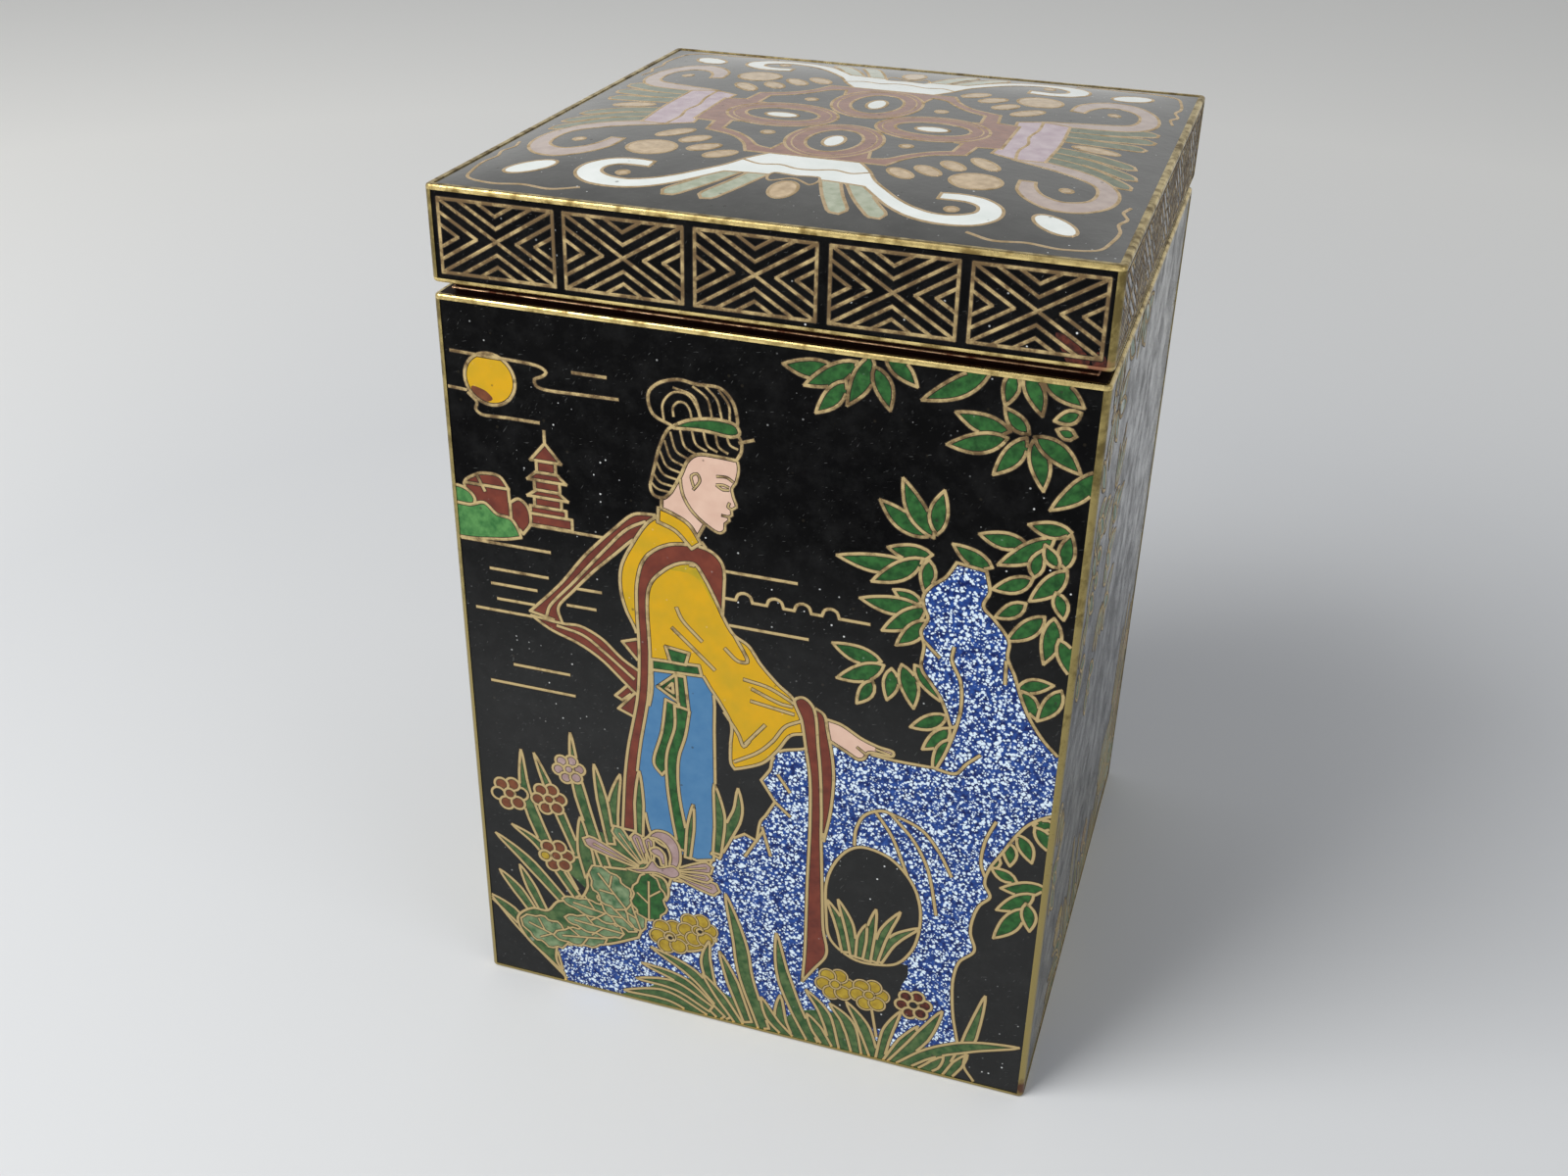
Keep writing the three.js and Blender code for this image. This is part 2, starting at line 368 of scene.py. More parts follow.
def stretches(row, shown, closed):
    """The shown stretches of a row of points, each cut at its sharp corners."""
    if closed and not shown.all():
        start = int(np.argmin(shown))
        row, shown = np.roll(row[:-1], -start, 0), np.roll(shown[:-1], -start)
        row, shown = np.vstack([row, row[:1]]), np.append(shown, False)
    elif closed:
        row, shown = np.vstack([row, row[1:3]]), np.append(shown, [True, True])
    marks_and_sheen = np.flatnonzero(np.diff(np.concatenate([[False], shown, [False]]).astype(int)))
    for start, end in zip(marks_and_sheen[::2], marks_and_sheen[1::2]):
        run = row[max(start - 1, 0) : end + 1]
        if len(run) < 3 and end - start < 2:
            continue
        run = simplify(run, WIRE_TOLERANCE)
        steps = np.diff(run, axis=0)
        steps = steps / np.maximum(np.hypot(steps[:, 0], steps[:, 1]), 1e-9)[:, None]
        sharp = [i + 1 for i, dot in enumerate((steps[:-1] * steps[1:]).sum(1)) if dot < CUT_BEND]
        for i, j in zip([0, *sharp], [*sharp, len(run) - 1]):
            if float(np.hypot(*(run[j] - run[i]))) > WIRE_SHORTEST or j - i > 2:
                yield run[i : j + 1]


# Meshes


def on_side(name, carrier="body_enamel_front"):
    """Where a point (u, v) of a side's picture lies, at a height above what carries it, in metres."""
    reach = -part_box(carrier)[0].y
    turn = SIDES.index(name) * math.pi / 2
    right = np.array([round(math.cos(turn)), round(math.sin(turn)), 0])
    out = np.array([round(math.sin(turn)), -round(math.cos(turn)), 0])

    def place(flat, height):
        up = np.zeros((len(flat), 3))
        up[:, 2] = flat[:, 1] * MM
        return flat[:, :1] * MM * right + up + (reach + height * MM) * out

    return place


def on_lid():
    """Where a point (u, v) of the lid's picture lies at a height above its crowned enamel, in metres."""
    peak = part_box("lid_top_enamel")[1]
    half = peak.x / MM
    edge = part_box("lid_top_rim")[1].z / MM - LID_EDGE_DROP
    rise = peak.z / MM - edge - LID_CROWN_ROOM

    def place(flat, height):
        bulge = (1 - np.abs(flat / half).clip(0, 1) ** 4).prod(1)
        return np.column_stack([flat, edge + rise * bulge + height]) * MM

    return place


def add_piece(name, points, faces, material):
    """A piece of the visual model that rides with the box."""
    mesh = bpy.data.meshes.new(name)
    mesh.from_pydata([tuple(p) for p in points], [], [tuple(int(i) for i in f) for f in faces])
    mesh.shade_smooth()
    mesh.set_sharp_from_angle(angle=math.radians(35))
    mesh.materials.append(material)
    piece = bpy.data.objects.new(name, mesh)
    bpy.context.scene.collection.objects.link(piece)
    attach(piece, "root")
    return piece


def slab(verts, faces, low, high, place):
    """Points and faces of a closed plate over some triangles of a picture."""
    used, flat = np.unique(faces, return_inverse=True)
    faces = flat.reshape(faces.shape)
    verts, count = verts[used], len(used)
    points = np.vstack([place(verts, high), place(verts, low)])
    edges = {(int(f[i]), int(f[(i + 1) % 3])) for f in faces for i in range(3)}
    walls = [(a, a + count, b + count, b) for a, b in edges if (b, a) not in edges]
    return points, [*faces, *(faces[:, ::-1] + count), *walls]


def ribbon(runs, place, low, side, top):
    """Points and faces of the wires: closed strips with a rounded top."""
    shoulder = (side + 3 * top) / 4
    section = [
        (-0.5, low), (-0.5, side), (-0.27, shoulder), (0, top), (0.27, shoulder), (0.5, side), (0.5, low),
    ]
    count = len(section)
    points, faces, start = [], [], 0
    for run, width in runs:
        steps = np.diff(run, axis=0)
        steps = steps / np.maximum(np.hypot(steps[:, 0], steps[:, 1]), 1e-9)[:, None]
        past = width * END_REACH
        ends = np.vstack([run[:1] - steps[:1] * past, run[1:-1], run[-1:] + steps[-1:] * past])
        arriving, leaving = np.vstack([steps[:1], steps]), np.vstack([steps, steps[-1:]])
        along = arriving + leaving
        along /= np.maximum(np.hypot(along[:, 0], along[:, 1]), 1e-9)[:, None]
        across = np.stack([-along[:, 1], along[:, 0]], 1)
        widen = 1 / np.maximum((along * leaving).sum(1), MITRE_LIMIT)
        for k, (shift, height) in enumerate(section):
            flat = ends + across * (widen * shift * width)[:, None]
            points.append((start + np.arange(len(run)) * count + k, place(flat, height)))
        for i in range(len(run) - 1):
            here, there = start + i * count, start + (i + 1) * count
            for k in range(count):
                after = (k + 1) % count
                faces.append((here + k, there + k, there + after, here + after))
        faces.append(tuple(range(start, start + count)))
        faces.append(tuple(range(start + (len(run) - 1) * count, start + len(run) * count))[::-1])
        start += len(run) * count
    laid = np.zeros((start, 3))
    for rows, places in points:
        laid[rows] = places
    return laid, faces


def lay_picture(picture, name, place, finish, wire, grid=0.0, seams=True):
    """Makes a picture's pieces: one for each colour of cells, one for the wires and one for the painted shade
    of their seams.
    """
    wire_top = bpy.context.scene.enamel_sizes.wire_relief
    cell_top = wire_top * CELL_TOP_SHARE
    verts, faces, colours = picture.partition(grid)
    for colour in sorted(set(colours) - {"black"}):
        points, plates = slab(verts, faces[colours == colour], cell_top - CELL_DEPTH, cell_top, place)
        add_piece(f"{name}_{colour}", points, plates, enamel(colour, finish))
    runs = [(resample(run, grid) if grid else run, width) for run, width in picture.runs()]
    points, strips = ribbon(runs, place, cell_top - WIRE_DEPTH, cell_top, wire_top)
    add_piece(f"{name}_wires", points, strips, wire)
    # The seams are dark strips of painted shade along the wires.
    if seams:
        runs = [(run, width + SEAM_WIDENING) for run, width in runs]
        points, strips = ribbon(runs, place, cell_top - WIRE_DEPTH, cell_top + SEAM_SIDE, cell_top + SEAM_TOP)
        add_piece(f"{name}_painted_shade", points, strips, seam())


# Materials


def node(tree, kind, inputs=None, **settings):
    """A shader node with its inputs set to values or linked to sockets."""
    made = tree.nodes.new(kind)
    for key, value in settings.items():
        setattr(made, key, value)
    for key, value in (inputs or {}).items():
        if isinstance(value, bpy.types.NodeSocket):
            tree.links.new(value, made.inputs[key])
        else:
            made.inputs[key].default_value = value
    return made


def calculate(tree, operation, *values):
    """A Math node's result."""
    return node(tree, "ShaderNodeMath", dict(enumerate(values)), operation=operation).outputs[0]


def blend(tree, factor, first, second):
    """A mix of two colours."""
    made = node(tree, "ShaderNodeMix", {0: factor, 6: first, 7: second}, data_type="RGBA")
    return made.outputs[2]


def spread(tree, value, low, high, to_low=0.0, to_high=1.0):
    """A value's range mapped to another one."""
    inputs = {"Value": value, "From Min": low, "From Max": high, "To Min": to_low, "To Max": to_high}
    return node(tree, "ShaderNodeMapRange", inputs).outputs[0]


def noise(tree, place, size, detail=2.0, rough=0.5):
    """Noise with lumps of about a size in millimetres."""
    scale = size if isinstance(size, bpy.types.NodeSocket) else 1 / (size * MM)
    inputs = {"Vector": place, "Scale": scale, "Detail": detail, "Roughness": rough}
    return node(tree, "ShaderNodeTexNoise", inputs).outputs["Fac"]


def shared_group(name, inputs, outputs):
    """A new shader group: (tree, its input sockets, its output node), or None if it is there already."""
    if name in bpy.data.node_groups:
        return None
    tree = bpy.data.node_groups.new(name, "ShaderNodeTree")
    for label, kind, value in inputs:
        socket = tree.interface.new_socket(label, in_out="INPUT", socket_type=f"NodeSocket{kind}")
        socket.default_value = value
    for label, kind in outputs:
        tree.interface.new_socket(label, in_out="OUTPUT", socket_type=f"NodeSocket{kind}")
    return tree, tree.nodes.new("NodeGroupInput").outputs, tree.nodes.new("NodeGroupOutput")


def flecks(tree, place, size, share, radius):
    """A mask of small round spots in a share of the cells of a grid of random cells, size in millimetres."""
    made = node(tree, "ShaderNodeTexVoronoi", {"Vector": place, "Scale": 1 / (size * MM), "Randomness": 1.0})
    chance = node(tree, "ShaderNodeSeparateColor", {0: made.outputs["Color"]})
    picked = calculate(tree, "LESS_THAN", chance.outputs[0], share)
    reach = calculate(tree, "MULTIPLY", calculate(tree, "ADD", chance.outputs[1], 0.4), radius)
    spot = calculate(tree, "SUBTRACT", 1.0, calculate(tree, "DIVIDE", made.outputs["Distance"], reach))
    return calculate(tree, "MULTIPLY", picked, spread(tree, spot, 0.0, 0.35))


def build_glaze():
    """The group that gives fired enamel its mottling, pinholes, dust, scratches and uneven gloss, and a
    painted sheen: pale patches and a painted reflection of the lit floor that pales the lower part.
    """
    made = shared_group(
        "Fired Enamel",
        [
            ("First Tone", "Color", (0.5, 0.5, 0.5, 1)),
            ("Second Tone", "Color", (0.4, 0.4, 0.4, 1)),
            ("Mottle Frequency", "Float", 500.0),
            ("Mottle Hardness", "Float", 0.4),
            ("Mottle Balance", "Float", 0.5),
            ("Grain Tone", "Color", (0.8, 0.8, 0.8, 1)),
            ("Grain Share", "Float", 0.0),
            ("Pinholes", "Float", 0.5),
            ("Dust and Painted Sheen", "Float", 0.0),
            ("Polish", "Float", 0.1),
            ("Unevenness", "Float", 0.07),
        ],
        [("Colour", "Color"), ("Roughness", "Float"), ("Height", "Float")],
    )
    if made is None:
        return
    tree, given, result = made
    place = node(tree, "ShaderNodeTexCoord").outputs["Object"]
    askew = node(tree, "ShaderNodeMapping", {"Vector": place, "Rotation": (0.6, 0.4, 0.8)}).outputs[0]
    lumps = noise(tree, askew, given["Mottle Frequency"], 2.0, 0.55)
    slack = calculate(tree, "MULTIPLY", calculate(tree, "SUBTRACT", 1.08, given["Mottle Hardness"]), 0.3)
    low = calculate(tree, "SUBTRACT", given["Mottle Balance"], slack)
    high = calculate(tree, "ADD", given["Mottle Balance"], slack)
    tone = blend(tree, spread(tree, lumps, low, high), given["First Tone"], given["Second Tone"])
    small = calculate(tree, "MULTIPLY", given["Grain Share"], 0.8)
    coarse_grain = flecks(tree, askew, 0.37, given["Grain Share"], 0.62)
    grains = calculate(tree, "MAXIMUM", coarse_grain, flecks(tree, askew, 0.22, small, 0.60))
    tone = blend(tree, grains, tone, given["Grain Tone"])
    pits = calculate(tree, "MULTIPLY", flecks(tree, place, 1.3, 0.22, 0.13), given["Pinholes"])
    tone = blend(tree, pits, tone, (0.02, 0.017, 0.012, 1))
    patches = spread(tree, noise(tree, place, 14.0, 2.0), 0.44, 0.60)
    fine = calculate(tree, "MULTIPLY", flecks(tree, place, 0.7, 0.28, 0.125), patches)
    dust = calculate(tree, "MAXIMUM", fine, flecks(tree, askew, 7.0, 0.22, 0.042))
    first, second = (scratch(tree, place, turn) for turn in ((0.3, 0.5, 0.25), (1.2, 0.9, 1.1)))
    scratches = calculate(tree, "MAXIMUM", first, second)
    height = node(tree, "ShaderNodeSeparateXYZ", {0: place}).outputs["Z"]
    # Painted reflection of the lit floor near the box: the lower the enamel, the paler it is made.
    painted_floor_reflection = calculate(tree, "MULTIPLY", spread(tree, height, 0.066, 0.040), 0.028)
    # Painted sheen: pale patches from a noise, with the painted floor reflection added to them.
    painted_sheen = calculate(
        tree, "ADD", spread(tree, noise(tree, place, 3.0, 5.0, 0.7), 0.45, 0.8, 0.0, 0.010), painted_floor_reflection,
    )
    dust, scored = calculate(tree, "MULTIPLY", dust, 0.75), calculate(tree, "MULTIPLY", scratches, 0.06)
    marks_and_sheen = calculate(tree, "ADD", dust, scored)
    marks_and_sheen = calculate(tree, "MULTIPLY", calculate(tree, "ADD", marks_and_sheen, painted_sheen), given["Dust and Painted Sheen"])
    # Dust, scratches and the painted sheen all pale the colour towards one grey-white.
    tree.links.new(blend(tree, marks_and_sheen, tone, (0.75, 0.77, 0.77, 1)), result.inputs["Colour"])
    worn = spread(tree, noise(tree, place, 4.0, 5.0, 0.65), 0.35, 0.65)
    worn = calculate(tree, "MULTIPLY", worn, given["Unevenness"])
    gloss = calculate(tree, "ADD", calculate(tree, "SUBTRACT", given["Polish"], 0.05), worn)
    gloss = calculate(tree, "ADD", gloss, calculate(tree, "MULTIPLY", scratches, 0.1))
    tree.links.new(
        calculate(tree, "ADD", gloss, calculate(tree, "MULTIPLY", pits, 0.4)), result.inputs["Roughness"],
    )
    swell = calculate(tree, "MULTIPLY", noise(tree, place, 5.0, 2.0), 0.8)
    peel = calculate(tree, "MULTIPLY", noise(tree, place, 0.8, 3.0), 0.45)
    relief = calculate(
        tree, "SUBTRACT", calculate(tree, "ADD", swell, peel), calculate(tree, "MULTIPLY", pits, 0.3),
    )
    tree.links.new(relief, result.inputs["Height"])


def scratch(tree, place, turn):
    """A mask of fine scratches along one direction."""
    inputs = {"Vector": place, "Rotation": turn, "Scale": (1, 1, 22)}
    along = node(tree, "ShaderNodeMapping", inputs, vector_type="TEXTURE").outputs[0]
    return spread(tree, noise(tree, along, 0.14, 1.0), 0.73, 0.79)


def build_metal():
    """The group that gives wire and sheet their tarnish, fine scratches and uneven shine."""
    made = shared_group(
        "Worn Metal",
        [
            ("Bright Tone", "Color", (0.8, 0.6, 0.3, 1)),
            ("Tarnish Tone", "Color", (0.3, 0.2, 0.1, 1)),
            ("Tarnish", "Float", 0.4),
            ("Shine", "Float", 0.3),
        ],
        [("Colour", "Color"), ("Roughness", "Float"), ("Height", "Float")],
    )
    if made is None:
        return
    tree, given, result = made
    place = node(tree, "ShaderNodeTexCoord").outputs["Object"]
    patches = noise(tree, place, 1.6, 4.0, 0.65)
    height = node(tree, "ShaderNodeSeparateXYZ", {0: place}).outputs["Z"]
    start = calculate(tree, "SUBTRACT", 0.75, calculate(tree, "MULTIPLY", given["Tarnish"], 0.45))
    # The dark tone takes over sooner towards the top: the metal is darker towards the top and lighter towards
    # the bottom.
    start = calculate(tree, "ADD", start, spread(tree, height, 0.095, 0.015, -0.20, 0.15))
    dull = spread(tree, patches, start, calculate(tree, "ADD", start, 0.22))
    tree.links.new(blend(tree, dull, given["Bright Tone"], given["Tarnish Tone"]), result.inputs["Colour"])
    grain = noise(tree, place, 0.15, 3.0, 0.6)
    rough = calculate(tree, "ADD", given["Shine"], calculate(tree, "MULTIPLY", dull, 0.22))
    rough = calculate(tree, "ADD", rough, calculate(tree, "MULTIPLY", grain, 0.1))
    tree.links.new(rough, result.inputs["Roughness"])
    dents = calculate(tree, "ADD", calculate(tree, "MULTIPLY", grain, 0.15), patches)
    tree.links.new(dents, result.inputs["Height"])


def surface(name, group, values, metallic, bump_depth, specular=0.5):
    """A material whose shader takes its colour, roughness and relief from one of the shared groups."""
    if name in bpy.data.materials:
        return bpy.data.materials[name]
    material = bpy.data.materials.new(name)
    material.use_nodes = True
    tree = material.node_tree
    shader = tree.nodes["Principled BSDF"]
    shader.inputs["Metallic"].default_value = metallic
    shader.inputs["Specular IOR Level"].default_value = specular
    source = node(tree, "ShaderNodeGroup", node_tree=bpy.data.node_groups[group])
    for key, value in values.items():
        source.inputs[key].default_value = (*value, 1) if isinstance(value, tuple) else value
    bump = node(tree, "ShaderNodeBump", {"Height": source.outputs["Height"], "Distance": bump_depth * MM})
    tree.links.new(source.outputs["Colour"], shader.inputs["Base Color"])
    tree.links.new(source.outputs["Roughness"], shader.inputs["Roughness"])
    tree.links.new(bump.outputs["Normal"], shader.inputs["Normal"])
    return material


def enamel(colour, finish):
    """The enamel of one colour, finished as one of the faces is."""
    build_glaze()
    first, second, size, hardness, balance = ENAMELS[colour][1:]
    speckled = colour == "speckled_blue"
    values = {
        "First Tone": tuple(getattr(bpy.context.scene.enamel_colours, f"{colour}_enamel", first)),
        "Second Tone": second,
        "Mottle Frequency": 1 / (size * MM),
        "Mottle Hardness": hardness,
        "Mottle Balance": balance,
        "Grain Tone": (0.62, 0.73, 0.82),
        "Grain Share": 0.42 if speckled else 0.0,
        "Pinholes": 0.2 if speckled else 0.6,
        # Black enamel takes the full dust and painted sheen, other colours a fifth of it.
        "Dust and Painted Sheen": 1.0 if "black" in colour else 0.2,
        "Polish": bpy.context.scene.enamel_sizes.polish,
        "Unevenness": finish.uneven,
    }
    name = f"{finish.word} {colour} enamel"
    return surface(name, "Fired Enamel", values, 0.0, finish.waves, finish.specular)


def metal(name, bright, tarnished, tarnish, shine, bump_depth, metallic=1.0, specular=0.5):
    """A metal with its bright and tarnished tones, how far it has tarnished and how rough its shine is."""
    build_metal()
    values = {"Bright Tone": bright, "Tarnish Tone": tarnished, "Tarnish": tarnish, "Shine": shine}
    return surface(name, "Worn Metal", values, metallic, bump_depth, specular)


def cell_wire():
    """The flat gilt wire between the cells."""
    gilt = tuple(bpy.context.scene.enamel_colours.gilt_wire)
    return metal("cell wire", gilt, (0.20, 0.135, 0.070), 0.5, 0.40, 0.01)


def lid_sheen_wire():
    """The cell wire of the lid's top, made lighter as painted sheen."""
    return metal("lid cell wire with painted sheen", (0.90, 0.70, 0.44), (0.50, 0.37, 0.20), 0.2, 0.40, 0.01)


def seam():
    """The dark line along a wire: painted shade of the groove where the enamel shrank from it."""
    return metal("wire seam", (0.035, 0.022, 0.012), (0.012, 0.008, 0.005), 0.6, 0.4, 0.01, 0.0, 0.2)


def solder():
    """The broken shine of a solder line on copper."""
    return metal("solder line", (0.95, 0.62, 0.36), (0.22, 0.07, 0.04), 0.35, 0.3, 0.04)


def copper():
    """Bare copper sheet, tarnished and made darker still as painted shade of the gap under the lid."""
    sheet = tuple(bpy.context.scene.enamel_colours.copper_sheet)
    return metal("tarnished copper with painted shade", sheet, (0.020, 0.008, 0.006), 0.95, 0.34, 0.04)


# Where the gilding has gone from the edge wires, in millimetres, and the tone of the copper that shows
BARE_SPOTS = (((33, -33, 1.2), (0.13, 0.065, 0.040, 1)), ((31.4, -33, 87.7), (0.34, 0.15, 0.09, 1)))


def edge_wire(dull=False):
    """The gilt wire of the rims, or a darker copy of it for the corners and the foot, bare in two spots."""
    name = "corner wire" if dull else "rim wire"
    if name in bpy.data.materials:
        return bpy.data.materials[name]
    # The corners and the foot get a darker copy of the rim wire.
    if dull:
        material = metal(name, (0.36, 0.285, 0.11), (0.17, 0.130, 0.048), 0.5, 0.20, 0.015)
    else:
        material = metal(name, (0.69, 0.54, 0.23), (0.22, 0.155, 0.055), 0.3, 0.20, 0.015)
    tree = material.node_tree
    shader = tree.nodes["Principled BSDF"]
    place = node(tree, "ShaderNodeTexCoord").outputs["Object"]
    ragged = calculate(tree, "MULTIPLY", noise(tree, place, 0.8, 3.0), 0.002)
    colour = shader.inputs["Base Color"].links[0].from_socket
    for spot, tone in BARE_SPOTS:
        inputs = {0: place, 1: [c * MM for c in spot]}
        away = node(tree, "ShaderNodeVectorMath", inputs, operation="DISTANCE").outputs["Value"]
        away = calculate(tree, "ADD", away, ragged)
        colour = blend(tree, spread(tree, away, 0.0026, 0.0016), colour, tone)
    tree.links.new(colour, shader.inputs["Base Color"])
    return material


# The garden scene on the front


def sky(picture):
    """The moon with its cloud lines."""
    picture.cell(oval(-27.5, 78, 2.75, 2.75), "yellow")
    picture.cell(
        [(-29.6, 77.0), (-28.6, 76.9), (-27.9, 76.6), (-27.3, 75.9), (-28.2, 75.5), (-29.3, 76.0)],
        "flower_brown", 0,
    )
    for row in (
        [
            (-31.6, 80.5), (-28, 80.4), (-22, 80.1), (-21.3, 79.6), (-21.8, 79.1), (-22.6, 78.7),
            (-22.5, 78.1), (-21.8, 77.8), (-18, 77.8), (-13.8, 77.9),
        ],
        [(-18.5, 80), (-15, 80)], [(-32.1, 76.6), (-30.2, 76.5)],
        [(-30, 76.2), (-29.1, 75.3), (-29.3, 74.6), (-28.8, 74.1), (-26, 74.1), (-22.4, 74.1)],
    ):
        picture.line(row)


def tower(picture):
    """A pagoda of three flared roofs on its steps, about its middle line."""
    middle = -21.9
    picture.line([(middle, 73.3), (middle, 71.8)])
    blocks = [((2.6, 62.5), (2.6, 63.8)), ((2.0, 63.8), (2.0, 64.7))]
    for top, eave, reach, body, foot in (
        (66.6, 65.8, 2.25, 1.5, 64.7), (68.6, 67.7, 2.15, 1.4, 66.6), (71.8, 69.9, 1.7, 1.05, 68.6),
    ):
        blocks.append(((body, foot), (body, eave)))
        blocks.append(((reach, eave), (0.1 if top > 70 else 1.2, top)))
    for (low_half, low), (top_half, top) in blocks:
        corners = [
            (middle - low_half, low), (middle + low_half, low), (middle + top_half, top),
            (middle - top_half, top),
        ]
        picture.cell(corners, "red_brown", rounded=False)
    picture.line([(-24, 62.4), (-15.6, 62.4)])


def shore(picture):
    """The houses, the green bank and the lines of the water."""
    picture.cell(
        [
            (-31.3, 66), (-29.9, 67.2), (-29, 67.5), (-27.2, 67.4), (-26.3, 66.2, 1), (-26.2, 62.8, 1),
            (-29.5, 62.8, 1),
        ],
        "red_brown",
    )
    picture.line([(-31.2, 66.1), (-26.2, 66.1)])
    picture.line([(-29.8, 67.2), (-29, 65.5)])
    picture.cell(
        [(-26.2, 64.6, 1), (-25.2, 65.2), (-24.2, 64.4), (-24, 62.6), (-24.9, 61.2, 1), (-26.2, 62.6, 1)],
        "red_brown",
    )
    picture.cell(
        [(-33, 65.4), (-31.8, 65.6), (-30.6, 65), (-30.2, 64.1), (-31.5, 63), (-33, 63)], "bank_green",
    )
    picture.cell(
        [
            (-33.5, 63.4), (-30.8, 63.6), (-29.2, 64.1), (-27.8, 63), (-26.2, 62.7), (-25.3, 61.2),
            (-25.2, 60.7, 1), (-27.5, 60.1), (-33.5, 60),
        ],
        "bank_green",
    )
    for left, right, height in (
        (-32.1, -22, 59.5), (-29, -22.4, 56.4), (-29, -23.8, 54.6), (-28.4, -24, 52.8), (-31, -24.6, 51.3),
        (-19.4, -16.4, 55.8), (-20.3, -17.1, 53.6), (-27, -20.5, 44.8), (-29.9, -20, 42.2), (-3, 4.8, 61),
        (-2.2, 6.1, 54.8),
    ):
        picture.line([(left, height), (right, height + 0.05)])
    bridge = [(-3, 57.9, 1)]
    for middle in (-0.7, 2.6, 5.5, 8.4):
        bridge += [
            (middle - 0.9, 57.9, 1), (middle - 0.62, 58.6), (middle, 58.85), (middle + 0.62, 58.6),
            (middle + 0.9, 57.9, 1),
        ]
    picture.line([*bridge, (12.4, 57.9)])


BAMBOO_TOP = (
    (8.2, 84.2, 2.9, 84.0), (10, 85.2, 5, 82.2), (9, 83.2, 6.2, 79.6), (11.3, 86, 9.2, 80.8),
    (11.6, 85, 13.3, 80.9), (12.6, 86, 15.7, 83.6), (22.3, 86.2, 16.2, 82.4), (24.3, 86.4, 23.8, 83),
    (25.3, 86.4, 27.2, 82.5), (27, 85.8, 30.8, 83.8), (30.6, 83.3, 28.3, 82.2), (26.2, 80.6, 23.8, 82.8),
    (24.5, 80.6, 19.4, 81.7), (24.3, 79.9, 18.8, 78.4), (26, 80.2, 23.3, 76.1), (26.6, 80, 28, 75.2),
    (26.7, 80.4, 31.2, 77.4), (30.4, 81, 28.6, 81.4), (33, 78, 28.8, 73.4),
)
BAMBOO_LEFT = (
    (17.6, 68.6, 12.8, 71.7), (18.2, 68.6, 14.9, 74.3), (18.5, 69, 18.9, 73.7), (18.2, 66.8, 13.8, 66.8),
    (16.5, 65.3, 8.8, 65), (17.3, 66.2, 12.4, 62.8), (17.9, 66.2, 17.6, 62.7), (17.5, 61.4, 14.6, 62.3),
    (17.6, 60.8, 11.3, 60.7), (17.9, 61, 13.7, 57.5), (18, 59.5, 15.2, 56.1),
)
BAMBOO_RIGHT = (
    (24, 66.5, 20.1, 68.3), (27, 69.6, 22.5, 69.8), (29.5, 70.6, 24.5, 66.9), (31, 71.5, 27, 71.6),
    (30.8, 67.6, 31, 71.3), (28, 66.2, 28.5, 69.2), (30.2, 67.6, 28.7, 69.8), (27.9, 66, 24.2, 64.2),
    (31, 67.5, 27.8, 63.6), (30.2, 65, 31.2, 62.2), (27.5, 63.3, 24.7, 61.2), (29.4, 62.2, 26, 58.8),
    (30.3, 62.2, 29.8, 57), (31, 60, 32.6, 56), (27.5, 53.6, 31, 54.8), (28, 53.5, 29.8, 50.5),
    (31.8, 54.4, 29.8, 50.4),
)
BAMBOO_MIDDLE = (
    (13.8, 53.9, 8.7, 55), (14.1, 53.5, 9.3, 51), (13, 51.5, 11.5, 48.4), (14.9, 53.3, 14.6, 49.5),
    (15.9, 54, 17.4, 49.1), (17.2, 54.2, 20, 50.6), (20.8, 49, 17.2, 46.8), (21.2, 47.6, 18.6, 44.4),
    (21.2, 46.2, 19.8, 42.4),
)
BAMBOO_LOW = (
    (32.8, 38.5, 30.6, 37.8), (29.2, 36.2, 30.9, 33), (30.8, 37.6, 33, 34.6), (28.3, 35, 28.7, 32),
    (27, 33, 27.2, 31.2), (29.6, 30.2, 26.8, 31.3), (32.6, 30.2, 28, 28.9), (31.5, 29, 27.8, 25.9),
    (30.5, 26.8, 27.8, 22), (30.8, 27.6, 31.5, 24),
)


def bamboo(picture, leaves):
    """Sprays of pointed leaves, each given by its base and tip."""
    for base_u, base_v, tip_u, tip_v in leaves:
        length = math.hypot(tip_u - base_u, tip_v - base_v)
        outline = leaf((base_u, base_v), (tip_u, tip_v), min(1.95, 0.75 + length * 0.22))
        picture.cell(outline, "leaf_green", rounded=False)


